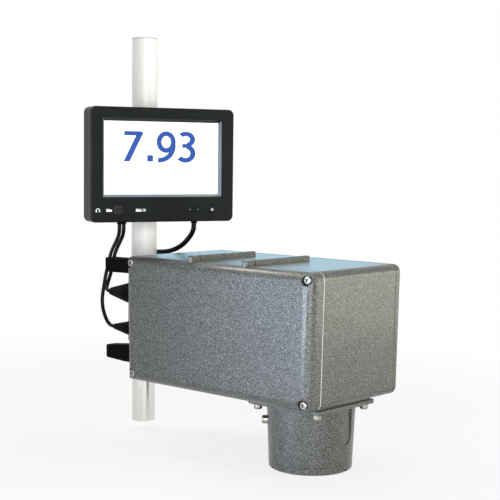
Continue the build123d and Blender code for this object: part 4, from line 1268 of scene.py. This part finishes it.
DISPLAY_CABLE = Cable(
    "display_cable",
    0.0046,
    (
        (0.027328, -0.059252, 0.2519),
        (0.027328, -0.059252, 0.2463),
        (0.0255, -0.0582, 0.2408),
        (0.0205, -0.0557, 0.2352),
        (0.01, -0.0503, 0.228),
        (-0.002, -0.0435, 0.2205),
        (-0.0145, -0.0364, 0.2115),
        (-0.0205, -0.0334, 0.201),
        (-0.022, -0.035, 0.1905),
        (-0.0219, -0.0386, 0.181),
        (-0.021, -0.0426, 0.1742),
        (-0.0183, -0.0463, 0.1693),
        (-0.01353, -0.048, 0.166623),
        (-0.007032, -0.048, 0.166759),
    ),
)
DATA_CABLE = Cable(
    "data_cable",
    0.0046,
    (
        (0.025253, -0.064237, 0.2519),
        (0.025253, -0.064237, 0.2463),
        (0.0234, -0.0632, 0.2408),
        (0.0185, -0.0607, 0.2352),
        (0.008, -0.0553, 0.228),
        (-0.0042, -0.0485, 0.2205),
        (-0.017, -0.0412, 0.2115),
        (-0.0235, -0.0385, 0.199),
        (-0.0262, -0.0408, 0.1855),
        (-0.0265, -0.0434, 0.1715),
        (-0.027, -0.0456, 0.159),
        (-0.0258, -0.0468, 0.149),
        (-0.0226, -0.0474, 0.1398),
        (-0.018, -0.0478, 0.1322),
        (-0.0132, -0.048, 0.1267),
        (-0.006625, -0.048, 0.123458),
        (-0.000126, -0.048, 0.123594),
    ),
)
SUPPLY_CABLE = Cable(
    "supply_cable",
    0.0062,
    (
        (0.062607, 0.025499, 0.2519),
        (0.062607, 0.025499, 0.2463),
        (0.0603, 0.0252, 0.2398),
        (0.0545, 0.0243, 0.2323),
        (0.0455, 0.0233, 0.224),
        (0.0325, 0.0222, 0.2173),
        (0.0162, 0.022, 0.2133),
        (0.0, 0.0225, 0.2126),
        (-0.0135, 0.0265, 0.209),
        (-0.0215, 0.034, 0.201),
        (-0.022, 0.042, 0.191),
        (-0.016, 0.047, 0.1825),
        (-0.0055, 0.048, 0.1776),
        (0.004756, 0.048, 0.177008),
        (0.013754, 0.048, 0.177196),
    ),
)


@dataclass(frozen=True)
class Lamp:
    """A square soft lamp that the camera doesn't see.

    Attributes:
        name: its name.
        place: where it hangs, in metres.
        target: what it points at.
        size: its width in metres.
        power: its power in watts.
        colour: its colour, as sRGB hex.
        spread: how wide its light spreads, in degrees.
    """

    name: str
    place: Point
    target: Point
    size: float
    power: float
    colour: str
    spread: float = 180.0

    def hang(self) -> None:
        """Put the lamp into the scene."""
        data = bpy.data.lights.new(self.name, "AREA")
        data.shape = "SQUARE"
        data.size = self.size
        data.energy = self.power
        data.spread = math.radians(self.spread)
        data.color = linear(self.colour)[:3]
        lamp = bpy.data.objects.new(self.name, data)
        lamp.visible_camera = False
        aim = (Vector(self.target) - Vector(self.place)).to_track_quat("-Z", "Y")
        lamp.matrix_world = Matrix.Translation(self.place) @ aim.to_matrix().to_4x4()
        bpy.context.collection.objects.link(lamp)


@dataclass
class Studio:
    """Floor, world, lamps and camera.

    Attributes:
        eye: the camera's place, in metres.
        gaze: the direction it looks in.
        roll: its roll, in degrees.
        lens: its focal length in millimetres on its sensor.
        sensor: the sensor's width in millimetres.
        floor_height: level of the floor, in metres.
        floor_size: its width in metres.
        floor_colour: its colour, as sRGB hex.
        floor_roughness: how matt it is, from 0 to 1.
        floor_sheen: how strongly it shines.
        near: how far from the pole the floor's plain part begins to fade, in metres.
        far: how far from the pole it is gone.
        white_share: how white the floor is to the camera near the pole.
        room_colour: colour of the light from all round, as sRGB hex.
        room_strength: its strength.
        lamps: the lamps.
    """

    eye: Point = (1.10459, -1.03586, 0.33394)
    gaze: Point = (-0.66429, 0.74349, -0.07707)
    roll: float = 0.66
    lens: float = 86.4
    sensor: float = 36.0
    floor_height: float = -0.0115
    floor_size: float = 12.0
    floor_colour: str = "f6f7f7"
    floor_roughness: float = 0.9
    floor_sheen: float = 0.1
    near: float = 0.3
    far: float = 0.9
    white_share: float = 0.8
    room_colour: str = "eef1f4"
    room_strength: float = 0.2
    lamps: tuple[Lamp, ...] = (
        Lamp("front", (1.45, -0.98, 0.38), (0.1, 0.0, 0.25), 0.8, 18.5, "fffefb"),
        Lamp("window", (0.05, -0.8, 0.16), (0.33, -0.08, 0.12), 0.4, 0.55, "cfdcff", 44.0),
        Lamp("edge", (0.38, -0.85, 0.02), (0.33, -0.08, 0.12), 0.3, 0.28, "e6ecff", 40.0),
        Lamp("flank", (0.95, 0.72, 0.1), (0.33, 0.0, 0.1), 0.7, 0.62, "fffbe8", 60.0),
        Lamp("side", (1.5, 0.55, 0.3), (0.3, 0.0, 0.15), 0.9, 5.5, "fffaf0"),
        Lamp("top", (-0.7, -0.15, 1.15), (0.2, 0.0, 0.2), 0.3, 5.5, "fff6e6"),
        Lamp("roof", (0.1, 0.35, 1.3), (0.15, 0.0, 0.25), 0.7, 4.0, "ffffff"),
        Lamp("sky", (-0.92, 1.12, 0.43), (0.2, 0.0, 0.21), 0.8, 1.8, "00d2ff"),
    )

    def camera(self) -> None:
        """Set the camera at the photograph's viewing angle."""
        data = bpy.data.cameras.new("camera")
        data.lens = self.lens
        data.sensor_width = self.sensor
        data.sensor_fit = "HORIZONTAL"
        forward = Vector(self.gaze).normalized()
        right = forward.cross(Vector((0, 0, 1))).normalized()
        up = right.cross(forward)
        angle = math.radians(self.roll)
        side = right * math.cos(angle) + up * math.sin(angle)
        top = up * math.cos(angle) - right * math.sin(angle)
        camera = bpy.data.objects.new("camera", data)
        camera.matrix_world = Matrix(
            [[side[i], top[i], -forward[i], self.eye[i]] for i in range(3)] + [[0, 0, 0, 1]]
        )
        bpy.context.collection.objects.link(camera)
        bpy.context.scene.camera = camera

    def seen(self, tree: bpy.types.NodeTree) -> bpy.types.NodeSocket:
        """Tell whether the camera, a reflection or glass sees the surface.

        Args:
            tree: the floor's or the world's node tree.

        Returns:
            A value that is 1 for those rays and 0 for the rest.
        """
        path = add_node(tree, "ShaderNodeLightPath")
        plain = add_node(
            tree,
            "ShaderNodeMath",
            {0: path.outputs["Is Camera Ray"], 1: path.outputs["Is Glossy Ray"]},
            operation="MAXIMUM",
        )
        return add_node(
            tree,
            "ShaderNodeMath",
            {0: plain.outputs[0], 1: path.outputs["Is Transmission Ray"]},
            operation="MAXIMUM",
        ).outputs[0]

    def floor(self) -> None:
        """Lay a wide pale floor that takes the object's shadow."""
        mesh = bmesh.new()
        bmesh.ops.create_grid(
            mesh,
            x_segments=1,
            y_segments=1,
            size=self.floor_size / 2,
            matrix=Matrix.Translation((0, 0, self.floor_height)),
        )
        piece = new_object("floor", mesh)
        material = bpy.data.materials.new("pale_floor")
        material.use_nodes = True
        tree = material.node_tree
        shader = tree.nodes["Principled BSDF"]
        shader.inputs["Base Color"].default_value = linear(self.floor_colour)
        shader.inputs["Roughness"].default_value = self.floor_roughness
        shader.inputs["Specular IOR Level"].default_value = self.floor_sheen
        # white to the camera and to reflections, with enough plain floor left for the shadow
        place = add_node(tree, "ShaderNodeTexCoord").outputs["Object"]
        away = add_node(tree, "ShaderNodeVectorMath", {0: place}, operation="LENGTH")
        share = add_node(
            tree,
            "ShaderNodeMapRange",
            {
                "Value": away.outputs["Value"],
                "From Min": self.near,
                "From Max": self.far,
                "To Min": self.white_share,
            },
            interpolation_type="SMOOTHSTEP",
        )
        lit = add_node(
            tree,
            "ShaderNodeMath",
            {0: self.seen(tree), 1: share.outputs["Result"]},
            operation="MULTIPLY",
        )
        glow = add_node(tree, "ShaderNodeEmission", {"Color": linear(WHITE), "Strength": 1.0})
        both = add_node(
            tree,
            "ShaderNodeMixShader",
            {0: lit.outputs[0], 1: shader.outputs["BSDF"], 2: glow.outputs[0]},
        )
        tree.links.new(both.outputs[0], tree.nodes["Material Output"].inputs["Surface"])
        paint(piece, material)

    def world(self) -> None:
        """Light the room softly, white to the camera, to glass and to metal."""
        world = bpy.data.worlds.new("room")
        bpy.context.scene.world = world
        world.use_nodes = True
        tree = world.node_tree
        tree.nodes.clear()
        soft = add_node(
            tree,
            "ShaderNodeBackground",
            {"Color": linear(self.room_colour), "Strength": self.room_strength},
        )
        white = add_node(tree, "ShaderNodeBackground", {"Color": linear(WHITE), "Strength": 1.0})
        both = add_node(
            tree,
            "ShaderNodeMixShader",
            {0: self.seen(tree), 1: soft.outputs[0], 2: white.outputs[0]},
        )
        add_node(tree, "ShaderNodeOutputWorld", {"Surface": both.outputs[0]})

    def build(self) -> None:
        """Set up the whole studio."""
        self.camera()
        self.floor()
        self.world()
        for lamp in self.lamps:
            lamp.hang()
        bpy.context.scene.view_settings.view_transform = "Standard"


def main() -> None:
    """Build the sensor's groups in order."""
    logging.basicConfig(level=logging.INFO, format="%(message)s")
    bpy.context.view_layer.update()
    Studio().build()
    groups: list[Assembly] = [
        Pole(),
        Housing(),
        Snout(),
        Connections(),
        Optics(),
        Display(),
        Cables(cables=(DISPLAY_CABLE, DATA_CABLE, SUPPLY_CABLE)),
    ]
    for group in groups:
        group.dress()
        group.build()
        log.info("%s is done", type(group).__name__)


if __name__ == "__main__":
    main()
